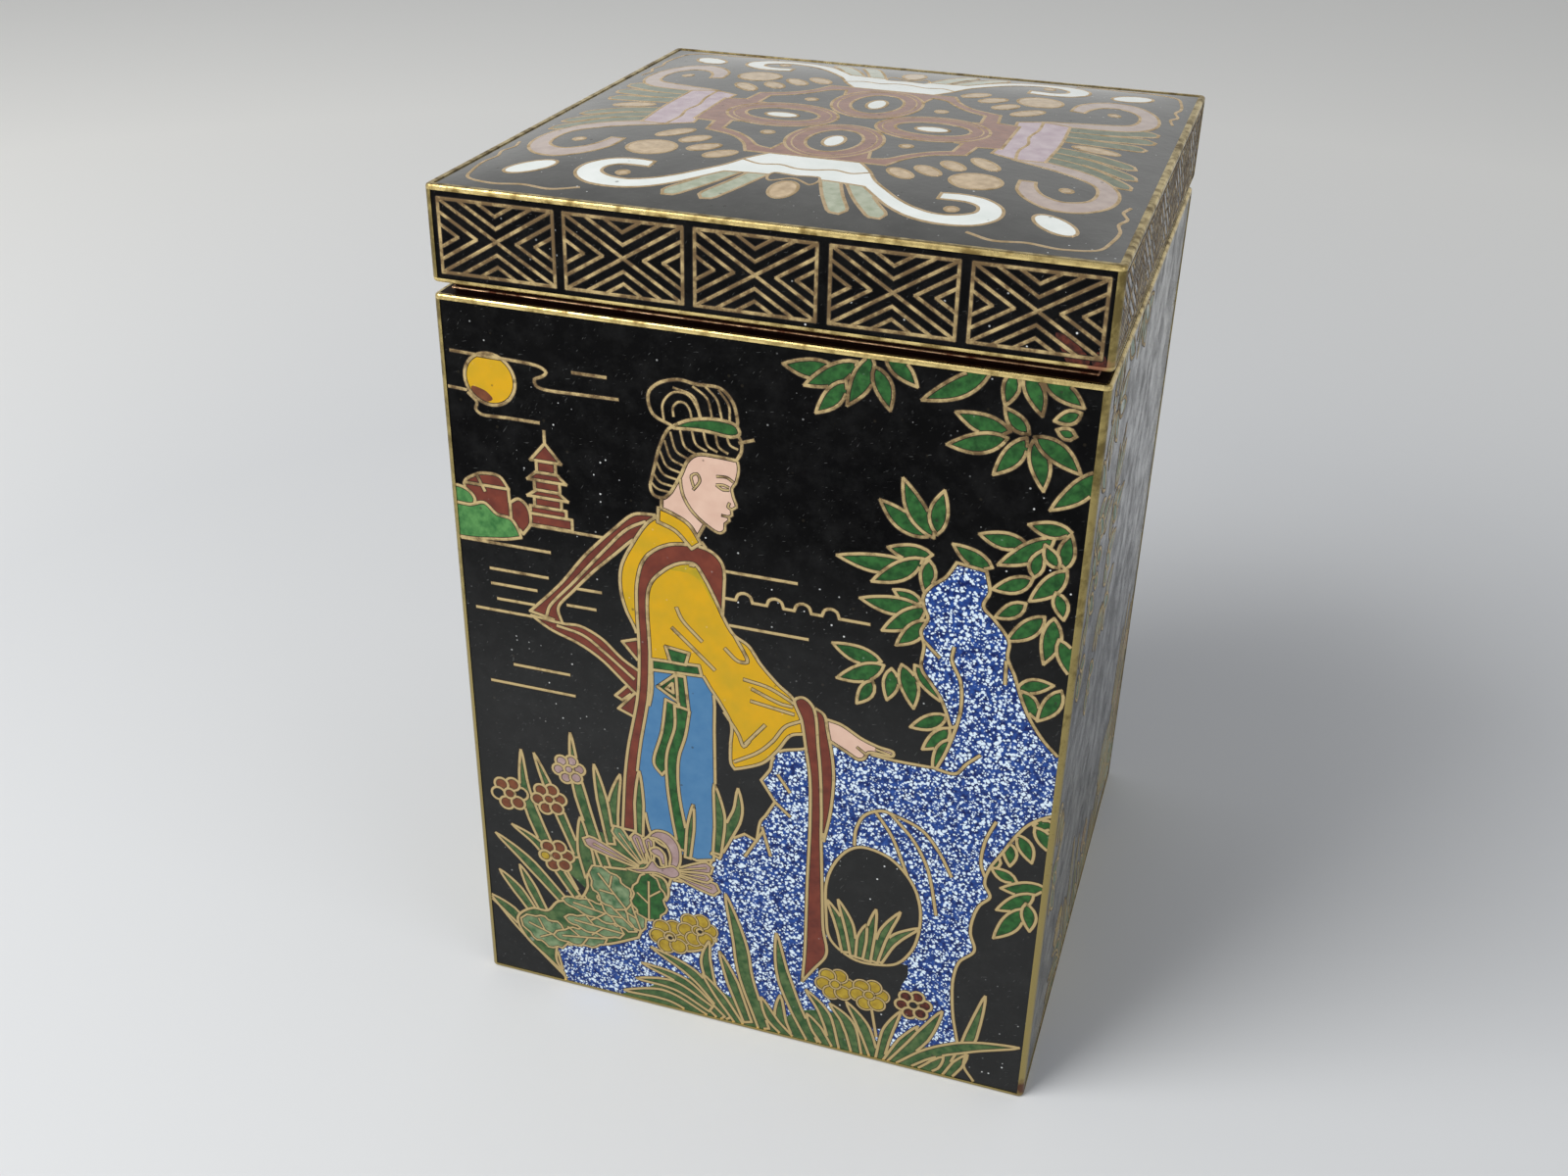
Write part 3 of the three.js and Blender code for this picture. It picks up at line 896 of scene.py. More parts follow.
def garden_rock(picture):
    """The tall speckled rock with its window and folds."""
    picture.cell(
        [
            (20.6, 66.4, 1), (23.5, 66, 1), (24, 63.8), (23.5, 62.2), (24.8, 60.8), (26.3, 58.8), (26.3, 57),
            (27.2, 55), (27.9, 53), (29, 50.6), (30.6, 48.3), (33.4, 45.6, 1), (33.4, 39.8, 1), (32.4, 39.4),
            (30.4, 38), (29, 36), (27.8, 33.5), (26.6, 31), (26.3, 29), (27, 27.4), (26, 26), (25.4, 24),
            (25.3, 22), (25.9, 19.6), (24.4, 17.6), (23.9, 15), (24, 12), (24.3, 9.4), (25, 6, 1), (24.6, 4),
            (24.4, 0, 1), (-23, 0, 1), (-24.2, 5.8, 1), (-20, 7), (-17.5, 8), (-13.7, 9.9), (-12.9, 11.2),
            (-12, 13.4), (-10.6, 15.6), (-9.8, 17.5), (-9.2, 19.8, 1), (-4.4, 20, 1), (-4.4, 23.4),
            (-3.8, 24.5), (-2.2, 27.2), (-0.4, 28.6, 1), (1, 28, 1), (1.4, 30.8), (1.9, 31.6), (3, 33.8, 1),
            (1.4, 36.3, 1), (2.4, 38), (2.6, 39.2), (3.4, 40.5), (5.9, 41.4), (8.8, 42.6), (15.8, 42.3),
            (20.2, 42.4, 1), (21, 44.5), (21.9, 48, 1), (21.4, 47.7), (20.8, 49.2), (20, 51), (19, 52.4),
            (17.9, 54), (18, 56.7), (17.6, 58.2), (18.2, 59.8), (17.7, 61), (17.6, 62.2), (18.3, 63.4),
            (19.6, 64.6),
        ],
        "speckled_blue",
    )
    picture.cell(
        [
            (9.4, 16.6, 1), (14, 15.6), (18.8, 15.4, 1), (18.8, 13.8), (18.2, 12.2), (18, 8), (16, 5),
            (11, 6.5), (9.8, 7.8), (8.5, 12),
        ],
        "black", 0,
    )
    picture.cell(
        [
            (13, 30.3), (16, 29.6), (18.5, 27), (19.6, 24), (19.7, 20.5), (19, 17.5), (17.4, 15.2),
            (15, 14.4), (12.8, 14.4), (10.6, 15.6), (9.6, 17), (9.2, 20), (9.1, 24.5), (10, 27.5),
            (11.5, 29.6),
        ],
        "black",
    )
    for tip, base in (
        ((9.3, 22), (11.6, 15.2)), ((19.7, 21), (15.4, 15)), ((10.5, 22.4), (12.6, 14.9)),
        ((17.5, 22.6), (14.9, 14.8)), ((14.8, 22.2), (14.1, 14.7)), ((13.8, 19.8), (13.2, 14.8)),
    ):
        bend = ((tip[0] + base[0]) / 2 + (base[0] - tip[0]) * 0.12, (tip[1] + base[1]) / 2 + 0.6)
        picture.cell(blade([tip, bend, base], 1.3), "grass_green", rounded=False)
    for row in (
        [(21, 57), (20.9, 55.5), (21.9, 53.3), (22.2, 50.5), (21.9, 48), (21, 44.5), (20.2, 42.4)],
        [
            (12, 30.4), (12.1, 32.5), (13, 34.6), (14.8, 35.6), (16, 35.4), (19.2, 34.2), (21.2, 31.8),
            (22.7, 29),
        ],
        [(14.2, 35.2), (16, 32.6), (17.9, 28)],
        [(15.8, 35.4), (18.4, 32.6), (20, 29.6), (20.6, 27.5), (21.4, 23.4)],
        [(26.8, 37.2), (25.9, 34.5), (25.7, 31.5), (26.2, 30)], [(3.3, 37.4), (4.6, 35.5)],
        [(3, 33.8), (4.7, 32.3)], [(1.6, 30), (2.6, 26.4)], [(1.7, 29.5), (-0.3, 25.6)],
        [(24.5, 45), (23.2, 43.6), (22.2, 42.2), (20.2, 42.3)], [(17.7, 57.4), (19.6, 55.6)],
        [(26.2, 56.5), (26.3, 54)],
    ):
        picture.line(row)


def robe(picture):
    """The jacket, skirt, sashes and ribbons of the figure."""
    picture.cell(
        [
            (-10.2, 66, 1), (-12.4, 65.7), (-14.5, 63.8), (-18, 60), (-21, 56), (-24.7, 52, 1),
            (-21, 51.3, 1), (-21.4, 53), (-19.6, 55.4), (-17, 58.4), (-14.6, 60.8), (-12.6, 62.8),
            (-11, 64, 1),
        ],
        "red_brown",
    )
    picture.line([(-11, 65.2), (-13.2, 63.9), (-16.4, 60.3), (-19.4, 56.6), (-22.4, 53), (-22.8, 51.8)])
    picture.cell([(-14.2, 50.4, 1), (-12.6, 51, 1), (-12.3, 48.2, 1)], "red_brown")
    picture.cell([(-15.2, 43.4, 1), (-12.3, 46.6, 1), (-12.3, 45, 1), (-14.4, 43, 1)], "red_brown")
    picture.cell([(-14.9, 41.8, 1), (-12.6, 44.6, 1), (-12.8, 41, 1)], "red_brown")
    picture.cell(
        [
            (-24.6, 51.5, 1), (-21, 51.2), (-19, 51.3), (-16.6, 50.3), (-14.2, 48.2), (-12.2, 47.0, 1),
            (-12.2, 43.6, 1), (-14.2, 45.4), (-16.6, 47.6), (-19, 49), (-22.4, 50.2),
        ],
        "red_brown",
    )
    picture.line([(-21.6, 50.8), (-18.6, 50.2), (-16, 48.4), (-13, 46)])
    picture.cell(
        [
            (-9.8, 66, 1), (-11, 65), (-12.6, 62.5), (-14, 59.5), (-14.2, 57), (-13.7, 54.5), (-12.6, 52),
            (-12.3, 50.2, 1), (-10.6, 50, 1), (-9, 57), (-7, 61), (-4.2, 62.6, 1), (-6.4, 65.3, 1),
        ],
        "yellow",
    )
    picture.cell(
        [
            (-10.9, 48.5, 1), (-11, 44.6), (-11.8, 41), (-12.6, 36), (-13, 33), (-12.2, 29), (-11, 25),
            (-6, 23.4, 1), (-4, 24, 1), (-3.8, 30), (-3.9, 41), (-4, 46), (-5, 48.6, 1),
        ],
        "blue",
    )
    picture.cell(
        [(-9.4, 44.2, 1), (-9.9, 40), (-10.9, 35.5), (-10, 34.2, 1), (-9.4, 35.2), (-8.2, 43.8, 1)],
        "leaf_green",
    )
    picture.cell(
        [
            (-8.4, 43.6, 1), (-8.4, 41), (-9.4, 37), (-9.4, 33), (-8.8, 28), (-8.2, 24.5, 1), (-6.6, 24.2, 1),
            (-7.4, 28), (-8.1, 33), (-8, 37), (-7.2, 40), (-6.7, 43.4, 1),
        ],
        "leaf_green",
    )
    picture.cell(
        [
            (-6.1, 61, 1), (-5.2, 60.2), (-4.2, 58.2), (-3, 55.8), (-1.8, 53.8), (-0.2, 52.8), (1.2, 50.8),
            (3.2, 48.7), (4.6, 47.6), (5.4, 46.2), (5.9, 44.6), (6, 43.3, 1), (4.6, 42.8), (3.2, 40.6),
            (1.6, 38.6), (-0.6, 37.4), (-1.6, 37, 1), (-2, 37.6), (-2.1, 40), (-2, 42.6), (-3.2, 45),
            (-4.4, 46.8), (-5.3, 48.2), (-6.5, 49, 1), (-10.9, 49, 1), (-11, 53), (-11, 57), (-9.4, 59.8),
            (-7.6, 61),
        ],
        "yellow",
    )
    picture.cell(
        [
            (-8.6, 60.1), (-6.2, 61), (-5.2, 60.1), (-4.2, 58), (-3.1, 55.8), (-4.1, 57.2), (-5.3, 59.2),
            (-6.6, 60.0),
        ],
        "lime", 0,
    )
    for row in (
        [(-8, 55.7), (-7.4, 54.4), (-5.3, 52.3)], [(-8.5, 53.2), (-6, 51), (-3.9, 49.1)],
        [(-2.7, 51.9), (-1.3, 50.7), (-0.3, 50.8), (-1.7, 53.7)],
        [(-0.6, 48.6), (2, 48.2), (4.2, 47.2), (5, 46.7)], [(0.3, 47.6), (3.4, 46.5), (4.6, 46.4)],
        [(0.2, 46.1), (4.8, 45.5)], [(1.7, 43.4), (-0.4, 40.6)],
        [(-2.8, 44), (-1.2, 41.6), (-0.6, 40.2), (0, 41)],
        [(5.6, 44.8), (4, 43.8), (2.6, 41.6), (1, 39.8), (-1.6, 38)],
    ):
        picture.line(row)
    picture.cell([(-10.9, 48.9, 1), (-5.6, 49.2, 1), (-5.3, 48, 1), (-10.9, 47.6, 1)], "leaf_green")
    picture.cell([(-9.3, 50.8, 1), (-6.7, 50.5, 1), (-7.1, 49, 1), (-8.8, 49, 1)], "leaf_green")
    picture.cell([(-8, 47.5, 1), (-7.2, 47.5, 1), (-6.8, 43.4, 1), (-7.9, 43.6, 1)], "leaf_green")
    picture.cell([(-10.3, 45.6, 1), (-8.2, 47.6, 1), (-8.0, 44.2, 1)], "leaf_green")
    picture.cell([(-9.3, 45.6, 1), (-8.6, 46.4, 1), (-8.5, 45.2, 1)], "black")
    picture.cell(
        [
            (-14.9, 25.6, 1), (-14.4, 33), (-13.9, 37), (-12.6, 44), (-12.3, 49), (-12.3, 58), (-11.3, 61),
            (-9, 62.8), (-6.4, 63.3), (-4.3, 63), (-3, 61.7), (-2.9, 57.6), (-3, 55.8, 1), (-4, 58),
            (-5.2, 60.2), (-6, 61.2), (-7.6, 61), (-9.4, 59.8), (-11, 57.6), (-11.1, 49), (-11.4, 44),
            (-12.4, 38), (-13, 33), (-13.3, 25.6, 1),
        ],
        "red_brown",
    )
    picture.cell(
        [
            (8.4, 45.7, 1), (10, 45.4), (12.2, 44.2), (14, 43.6), (15.6, 43.3), (15.6, 42.8), (13, 42.6),
            (12.6, 41.8), (12, 41.5), (10.6, 42.2), (8.6, 43.2, 1),
        ],
        "pink",
    )
    picture.line([(11.8, 43), (12.8, 42.3)], 0.7)
    picture.line([(13.8, 43.2), (15.2, 42.9)], 0.7)
    picture.cell(
        [
            (6.9, 46.9, 1), (8.1, 46.2), (8.5, 44.5), (9.1, 41.5), (9.4, 38.5), (9.2, 34), (8.6, 30, 1),
            (8.2, 34), (8, 38), (7.6, 42),
        ],
        "red_brown",
    )
    picture.cell(
        [
            (4.9, 47.3), (5.8, 47.8), (6.9, 46.9), (7.6, 42), (8, 38), (8.2, 34), (8.3, 30), (8.6, 24),
            (8.9, 18), (9.4, 14.2), (8, 11.6), (6.7, 9.4, 1), (6.9, 14), (6.9, 24), (7, 32), (6.8, 38),
            (6.2, 42), (5.7, 45),
        ],
        "red_brown",
    )


def head(picture):
    """The bowed head with its collar and dressed hair. The face is drawn by thirds, from chin to hairline."""
    picture.cell(
        [(-9.4, 69, 1), (-9.5, 66.4, 1), (-7.6, 66), (-5.6, 64.4, 1), (-4.2, 67.2, 1), (-6, 71, 1)], "pink",
    )
    picture.cell(
        [
            (-9.8, 66.9, 1), (-8.6, 66.6), (-6.6, 65.6), (-5.3, 63.7, 1), (-6.3, 62.9, 1), (-8, 64.6),
            (-9.9, 65.3, 1),
        ],
        "yellow",
    )
    height, tilt = 8.5, math.radians(12)
    chin = np.array((-3.2, 65.3))
    up = np.array((math.sin(tilt), math.cos(tilt)))
    forward = np.array((math.cos(tilt), -math.sin(tilt)))

    def feature(*points):
        return [tuple(chin + (forward * p[0] + up * p[1]) * height) + tuple(p[2:]) for p in points]

    profile = feature(
        (-0.02, 1.02, 1), (0.035, 0.88), (0.045, 0.76), (0.038, 0.68), (0.012, 0.61), (0.055, 0.50),
        (0.115, 0.395), (0.065, 0.335), (0.085, 0.275), (0.05, 0.235, 1), (0.07, 0.19), (0.03, 0.13),
        (0.045, 0.05), (-0.01, -0.015), (-0.2, 0.03), (-0.42, 0.16), (-0.56, 0.34), (-0.62, 0.6),
        (-0.5, 0.95, 1),
    )
    picture.cell(profile, "pink", 0.75)
    for row in (
        [(0.0, 0.695), (-0.08, 0.72), (-0.19, 0.69)], [(-0.025, 0.57), (-0.09, 0.55), (-0.17, 0.575)],
        [(-0.035, 0.605), (-0.10, 0.61), (-0.17, 0.585)], [(0.05, 0.235), (-0.03, 0.225)],
        [(0.055, 0.345), (0.015, 0.36), (0.02, 0.41)],
        [(-0.44, 0.46), (-0.49, 0.58), (-0.43, 0.63), (-0.38, 0.56), (-0.43, 0.42)],
    ):
        picture.line(feature(*row), 0.6)
    cap = [
        (-8.4, 68.9, 1), (-7.4, 70.8), (-6.6, 72.6), (-5.6, 73.4), (-3.6, 73.5), (-1.6, 73.4, 1),
        (-1.1, 74.4), (-1.3, 75.8), (-4, 76.6), (-8, 76, 1),
    ]
    nape = [(-8.6, 75.6), (-9.6, 73.4), (-10.2, 71), (-10.6, 69), (-10.2, 68.2), (-9.2, 68.1)]
    picture.cell([*cap, *nape], "black")
    bun = [
        (-8.2, 76, 1), (-10.2, 77), (-10.6, 79), (-9.6, 80.2), (-7.5, 80.9), (-5.8, 80.7), (-3.2, 80.6),
        (-2, 79.4), (-1.5, 77.4), (-1.6, 76.8, 1),
    ]
    picture.cell(bun, "black")
    for reach in (0.85, 1.75):
        arch = ((-1.1, -0.75), (-1.15, 0.3), (-0.5, 1.05), (0.35, 1.0), (0.9, 0.2), (1.05, -0.55))
        picture.line([(-7.1 + reach * u, 77.7 + reach * v) for u, v in arch], 0.7)
    for row in (
        [(-5.2, 77.3), (-6, 79.4), (-8, 80)], [(-4.1, 77.5), (-4.6, 79.4), (-6, 80.4)],
        [(-3.1, 77.5), (-3.6, 79.4), (-5, 80.8)], [(-2.3, 77.3), (-2.4, 79), (-3.4, 80.4)],
    ):
        picture.line(row, 0.7)
    for left, right in (
        ((-2.6, 75.8), (-1.5, 74.6)), ((-3.8, 76), (-2.5, 74)), ((-5, 76), (-3.6, 74)),
        ((-6.2, 76), (-4.7, 73.9)), ((-7.4, 75.8), (-5.8, 73.4)), ((-8.4, 75.3), (-6.4, 72.7)),
        ((-9, 74.3), (-6.9, 71.9)), ((-9.5, 73.1), (-7.3, 71.1)), ((-9.9, 71.9), (-7.7, 70.3)),
        ((-10.3, 70.7), (-8.1, 69.5)), ((-10.5, 69.6), (-8.6, 68.8)),
    ):
        bend = (left[0] * 0.68 + right[0] * 0.32, left[1] * 0.25 + right[1] * 0.75)
        picture.line([left, bend, right], 0.7)
    picture.cell(
        [
            (-8, 76.1, 1), (-6.4, 76.9), (-3.4, 77.4), (-1.6, 77), (-1.3, 76.2), (-2, 75.8), (-5, 76),
            (-8, 75.8, 1),
        ],
        "leaf_green",
    )
    picture.line([(-1.3, 75.3), (0.1, 75.8)])


def small_flower(picture, u, v, reach, colour, centre=None, dark=()):
    """Six round petals about a centre. Some petals may be black."""
    half, wire = (0.44 * reach, 0.6) if colour == "olive" else (0.37 * reach, 0.9)
    for k in range(6):
        angle = math.radians(60 * k + 12)
        at_u, at_v = u + 0.64 * reach * math.cos(angle), v + 0.64 * reach * math.sin(angle)
        picture.cell(oval(at_u, at_v, half, half, count=14), "black" if k in dark else colour, wire)
    picture.cell(oval(u, v, 0.3 * reach, 0.3 * reach, count=12), centre or colour, wire)


def large_flower(picture):
    """A spread bloom of long curling petals."""
    for base, tip, width in (
        ((-13.2, 20.6), (-19.9, 22.9), 1.7), ((-12.8, 21.2), (-16, 25.7), 1.6),
        ((-12.2, 21.4), (-13.5, 25.4), 1.5), ((-11.4, 21.6), (-11.9, 25.2), 1.3),
        ((-8.6, 20.6), (-3.3, 19.7), 1.9), ((-8.4, 21.4), (-4.1, 22.9), 1.7), ((-8.6, 21), (-4.2, 21.2), 1.3),
    ):
        picture.cell(petal(base, tip, width), "pale_leaf" if tip[0] == -16 else "lilac", 0.9, rounded=False)
        picture.line([base, (base[0] * 0.2 + tip[0] * 0.8, base[1] * 0.2 + tip[1] * 0.8)], 0.6)
    for hook in (
        [
            (-11.8, 25.2), (-10.9, 26.3), (-9.4, 26.3), (-8.2, 25), (-8, 22.6), (-8.6, 21, 1),
            (-9.4, 21.4, 1), (-9.2, 23.2), (-9.8, 24.6), (-10.8, 25.2),
        ],
        [
            (-11.7, 23.4), (-10.8, 24), (-9.9, 23.3), (-9.7, 21.6, 1), (-10.3, 21.6, 1), (-10.6, 22.6),
            (-11.2, 22.8),
        ],
    ):
        picture.cell(hook, "lilac", 0.9)
    picture.cell(
        [
            (-14.6, 20), (-12.4, 20.6), (-11.4, 22), (-10.6, 21.2), (-8.8, 21.8), (-8, 20.9), (-8.8, 20),
            (-11, 20.3), (-13, 19.8),
        ],
        "lilac", 0.7,
    )


def grass(picture, blades):
    """Long blades, each its width and then a row of points from its tip to its root."""
    for width, *row in blades:
        picture.cell(blade(row, width), "grass_green", rounded=False)


GRASS_LEFT = (
    (1.5, (-18.1, 33.6), (-17.3, 29), (-16.4, 23)), (1.5, (-25.4, 33.4), (-24, 29.5), (-20.5, 20)),
    (1.9, (-27, 33.5), (-26.8, 28), (-25, 22), (-21, 14)),
    (1.7, (-20.8, 37.2), (-20.3, 31), (-18.9, 25), (-17, 19)), (2.2, (-20.1, 25.8), (-19.7, 21), (-18.6, 15)),
    (1.5, (-28.8, 22.6), (-25.6, 20.6), (-21, 14)), (1.7, (-31, 20.8), (-27.4, 17.9), (-22, 12)),
    (1.5, (-28.2, 16.8), (-26.8, 13.6), (-25.2, 10)), (1.6, (-30.9, 15.4), (-28.6, 12.8), (-26.5, 9.6)),
    (1.8, (-32.9, 11.4), (-29.8, 9.4), (-26.8, 6)),
)
GRASS_SKIRT = (
    (1.5, (-15, 33), (-15.9, 29), (-16, 23.6)), (1.3, (-12.7, 34), (-12.8, 30), (-12.9, 24)),
    (1.0, (-6.4, 31), (-6.7, 28), (-7.1, 23.5)), (1.6, (-1.2, 34.5), (-1.2, 31.5), (-2.4, 28), (-3.8, 24.6)),
    (1.5, (-3.9, 34.4), (-3.3, 30), (-3.6, 25)),
)
GRASS_LOW = (
    (1.5, (-4.6, 12), (-5, 9), (-4, 4)), (1.6, (-11.8, 9), (-6.6, 6.4), (-2, 1)),
    (1.5, (-13, 6.2), (-7.8, 4.8), (-3, 0.6)), (1.5, (-13.8, 3.6), (-9, 3.9), (-4.4, 1.6)),
    (1.7, (-15.4, 1.2), (-10, 2), (-5, 0)), (2.1, (-2.6, 19.5), (-0.9, 13), (-0.1, 8), (2.2, 0.6)),
    (1.6, (-3.3, 10.8), (-2, 7.4), (0.2, 1)), (1.4, (-5.4, 6.8), (-3, 3.6), (-0.6, 0)),
    (1.5, (4.1, 6.4), (4.2, 3), (5.4, 0)), (1.9, (3.5, 15.5), (4.3, 10), (6, 5), (8.2, 0.4)),
    (1.5, (7.2, 8.2), (9.4, 5.4), (11, 0)), (1.5, (1.8, 5.4), (3.2, 2.4), (5.6, 0)),
    (1.8, (10.1, 7), (12.2, 4.8), (13.6, 0)), (1.7, (12, 7.9), (14, 5), (15.8, 0)),
    (1.4, (18.3, 8.4), (17, 5), (16.2, 0)), (1.4, (20.4, 6.8), (18.6, 3.4), (17, 0)),
    (1.9, (23, 9.9), (21, 5.4), (17.8, 0.2)), (1.6, (7.4, 4.6), (9, 2), (10.2, 0)),
    (1.6, (27.6, 13.6), (26.9, 9.6), (25.9, 5), (24, 0)),
    (1.8, (31.9, 7.3), (26.4, 5.6), (22, 3.2), (18.6, 0)), (1.4, (26.3, 4.4), (25, 2), (24, 0)),
    (1.5, (23.6, 3.2), (22.6, 1.6), (21, 0)),
)


def lobed_leaf(base, tip, width):
    """A broad leaf with lobed edges."""

    def profile(t):
        return math.sin(math.pi * t**0.75) ** 0.5 * (0.72 + 0.28 * abs(math.cos(3.2 * math.pi * t)))

    return strip([base, midway(base, tip), tip], width, profile)


BROAD_LEAVES = (
    (-22.4, 6.6, -28.6, 8.6, 4.6), (-17.4, 8.6, -24.4, 7.2, 3.0), (-15.2, 10, -22.8, 10.4, 2.8),
    (-14.6, 12, -23, 13.2, 2.8), (-13.6, 10.8, -18.4, 15.4, 3.0), (-13, 11, -14.6, 16.2, 2.4),
    (-14.8, 13.8, -18.9, 19.2, 4.8), (-12, 13, -11.9, 20, 4.6),
)


def leaf_bed(picture):
    """Broad leaves over a low bed of green."""
    picture.cell(
        [
            (-29, 8.6), (-27, 10.6), (-25, 10.8), (-23.5, 12.6), (-21, 13.4), (-19.6, 15.8), (-19.6, 17.4),
            (-18.8, 19), (-16, 19.6), (-12, 20), (-10, 19.6), (-9.5, 17.6), (-10.6, 15.2), (-12.5, 12.4),
            (-13.4, 10, 1), (-17.4, 7.8), (-24, 5.8, 1), (-24.2, 3.4), (-23.4, 1.6, 1), (-25.4, 3.4),
            (-28, 5.8),
        ],
        "grass_green",
    )
    for k, (base_u, base_v, tip_u, tip_v, width) in enumerate(BROAD_LEAVES):
        picture.cell(
            lobed_leaf((base_u, base_v), (tip_u, tip_v), width), "leaf_green" if k > 6 else "pale_leaf", 0.75,
            rounded=False,
        )
        along = np.array((tip_u - base_u, tip_v - base_v))
        side = np.array((-along[1], along[0])) * 0.2
        start = np.array((base_u, base_v))
        picture.line([start, start + along * 0.82], 0.75)
        for share, way in ((0.35, 1), (0.5, -1)):
            picture.line([start + along * share, start + along * (share + 0.18) + side * way], 0.7)


def foreground(picture):
    """The flowers, broad leaves and grass at the foot of the scene."""
    grass(picture, GRASS_SKIRT)
    picture.cell(
        [(-22.6, 18, 1), (-20.6, 22.4, 1), (-18.6, 24.4, 1), (-15, 24.2, 1), (-11, 21, 1), (-18, 14, 1)],
        "grass_green", 0,
    )
    grass(picture, GRASS_LEFT)
    small_flower(picture, -21.2, 32.2, 2.0, "lilac")
    small_flower(picture, -28.8, 27, 2.3, "flower_brown", dark=(0, 3))
    small_flower(picture, -23.9, 27.4, 2.2, "flower_brown")
    small_flower(picture, -23.4, 19.4, 2.3, "flower_brown")
    picture.cell(oval(-24.8, 19.1, 0.75, 0.75, count=12), "olive")
    leaf_bed(picture)
    picture.line([(-32.4, 11.2), (-29.8, 7.8), (-28, 5.8), (-24, 1.8), (-23, 0.8)])
    large_flower(picture)
    picture.cell(
        [
            (-11, 12), (-9.6, 13.4), (-7.8, 13.6), (-6.4, 14.8), (-4.2, 14), (-3.8, 12.2), (-5.6, 10.4),
            (-8, 9.6), (-10.6, 10),
        ],
        "olive",
    )
    small_flower(picture, -9.4, 11.3, 2.4, "olive")
    small_flower(picture, -6, 13.2, 2.3, "olive")
    for u, v in ((-9.4, 11.1), (-5.7, 13.1)):
        picture.cell(oval(u, v, 0.42, 0.42, count=10), "black", 0.8)
    small_flower(picture, 10.6, 10.1, 2.2, "olive")
    small_flower(picture, 14.6, 9.7, 2.2, "olive")
    small_flower(picture, 19.7, 9.8, 2.1, "bleed", "black")
    picture.line([(15, 7.6), (15.7, 3.8)])
    turf = [
        (-16.4, 0.1, 1), (-12.4, 2.6), (-8.6, 5.2), (-4.6, 5.6), (-1.8, 4.2), (1.2, 3.6), (3.8, 2.4),
        (6.2, 4.6), (10, 5.8), (13, 4.8), (15.6, 3.2), (18, 2.8), (20.4, 3.8), (23, 4.2), (25.8, 4.2),
        (25.4, 2.2), (24.6, 0.1, 1),
    ]
    picture.cell(turf, "grass_green", 0)
    grass(picture, GRASS_LOW)
    picture.line([(26.1, 4.4), (26, 2.6), (27.2, 0.7)])


# The other sides, the lid's band and its top


def flower_clump(picture):
    """Tall blades and small flowers over broad leaves."""
    grass(picture, GRASS_LEFT)
    for u, v in ((-28.8, 27), (-23.9, 27.4), (-23.4, 19.4)):
        small_flower(picture, u, v, 2.3, "flower_brown")
    leaf_bed(picture)


def right_side(picture):
    """Bamboo down one edge over grass and flowers."""
    picture.move_pen(2, 0, mirrored=True)
    bamboo(picture, BAMBOO_TOP + BAMBOO_LEFT + BAMBOO_RIGHT + BAMBOO_MIDDLE + BAMBOO_LOW)
    picture.move_pen(4, -3, mirrored=True)
    flower_clump(picture)
    picture.move_pen(-7, 0)
    grass(picture, GRASS_LOW)
    small_flower(picture, -9.4, 11.5, 2.4, "olive")
    small_flower(picture, 10.6, 10.1, 2.2, "flower_brown")


def back_side(picture):
    """A moon over water, bamboo and flowers in tall grass."""
    sky(picture)
    tower(picture)
    shore(picture)
    picture.move_pen(-4, -4)
    bamboo(picture, BAMBOO_TOP + BAMBOO_RIGHT)
    picture.move_pen(3, -3)
    flower_clump(picture)
    small_flower(picture, -21.2, 32.8, 2.1, "lilac")
    large_flower(picture)
    picture.move_pen(5, 0)
    grass(picture, GRASS_LOW)
    small_flower(picture, 10.6, 10, 2.2, "olive")
    small_flower(picture, 14.6, 12.4, 2.2, "olive")


def left_side(picture):
    """Bamboo sprays over flowers and grass."""
    picture.move_pen(0, 0, mirrored=True)
    bamboo(picture, BAMBOO_TOP + BAMBOO_RIGHT)
    picture.move_pen(-2, -14)
    bamboo(picture, BAMBOO_LEFT + BAMBOO_MIDDLE)
    picture.move_pen(-2, -3, mirrored=True)
    flower_clump(picture)
    large_flower(picture)
    picture.move_pen(-7, 0)
    grass(picture, GRASS_LOW)
    small_flower(picture, -9.4, 11.5, 2.4, "olive")
    small_flower(picture, 14.6, 12.4, 2.2, "olive")


def chevron_band(picture, count=5):
    """Panels of nested chevrons between crossed diagonals."""
    left, bottom, right, top = picture.field
    margin, gap = 0.65, 1.2
    width = (right - left - 2 * margin - gap * (count - 1)) / count
    low, high = bottom + 0.65, top - 0.75
    for k in range(count):
        start = left + margin + k * (width + gap) + 0.1 * math.sin(7 * k)
        end = start + width + 0.12 * math.cos(5 * k)
        picture.line([(start, low, 1), (end, low, 1), (end, high, 1), (start, high, 1), (start, low)])
        picture.line([(start, low), (end, high)])
        picture.line([(start, high), (end, low)])
        middle_u, middle_v = (start + end) / 2, (low + high) / 2
        half_u, half_v = (end - start) / 2, (high - low) / 2
        for share in (0.35, 0.68):
            for side in (-1, 1):
                at_u, rest = middle_u + side * share * half_u, 1 - share
                edge_u = middle_u + side * half_u
                picture.line(
                    [
                        (edge_u, middle_v + rest * half_v), (at_u, middle_v, 1),
                        (edge_u, middle_v - rest * half_v),
                    ]
                )
                at_v = middle_v + side * share * half_v
                edge_v = middle_v + side * half_v
                picture.line(
                    [
                        (middle_u - rest * half_u, edge_v), (middle_u, at_v, 1),
                        (middle_u + rest * half_u, edge_v),
                    ]
                )


def turned(points, across, up):
    """Points mirrored about the lid's middle lines."""
    return [(p[0] * across, p[1] * up) + tuple(p[2:]) for p in points]


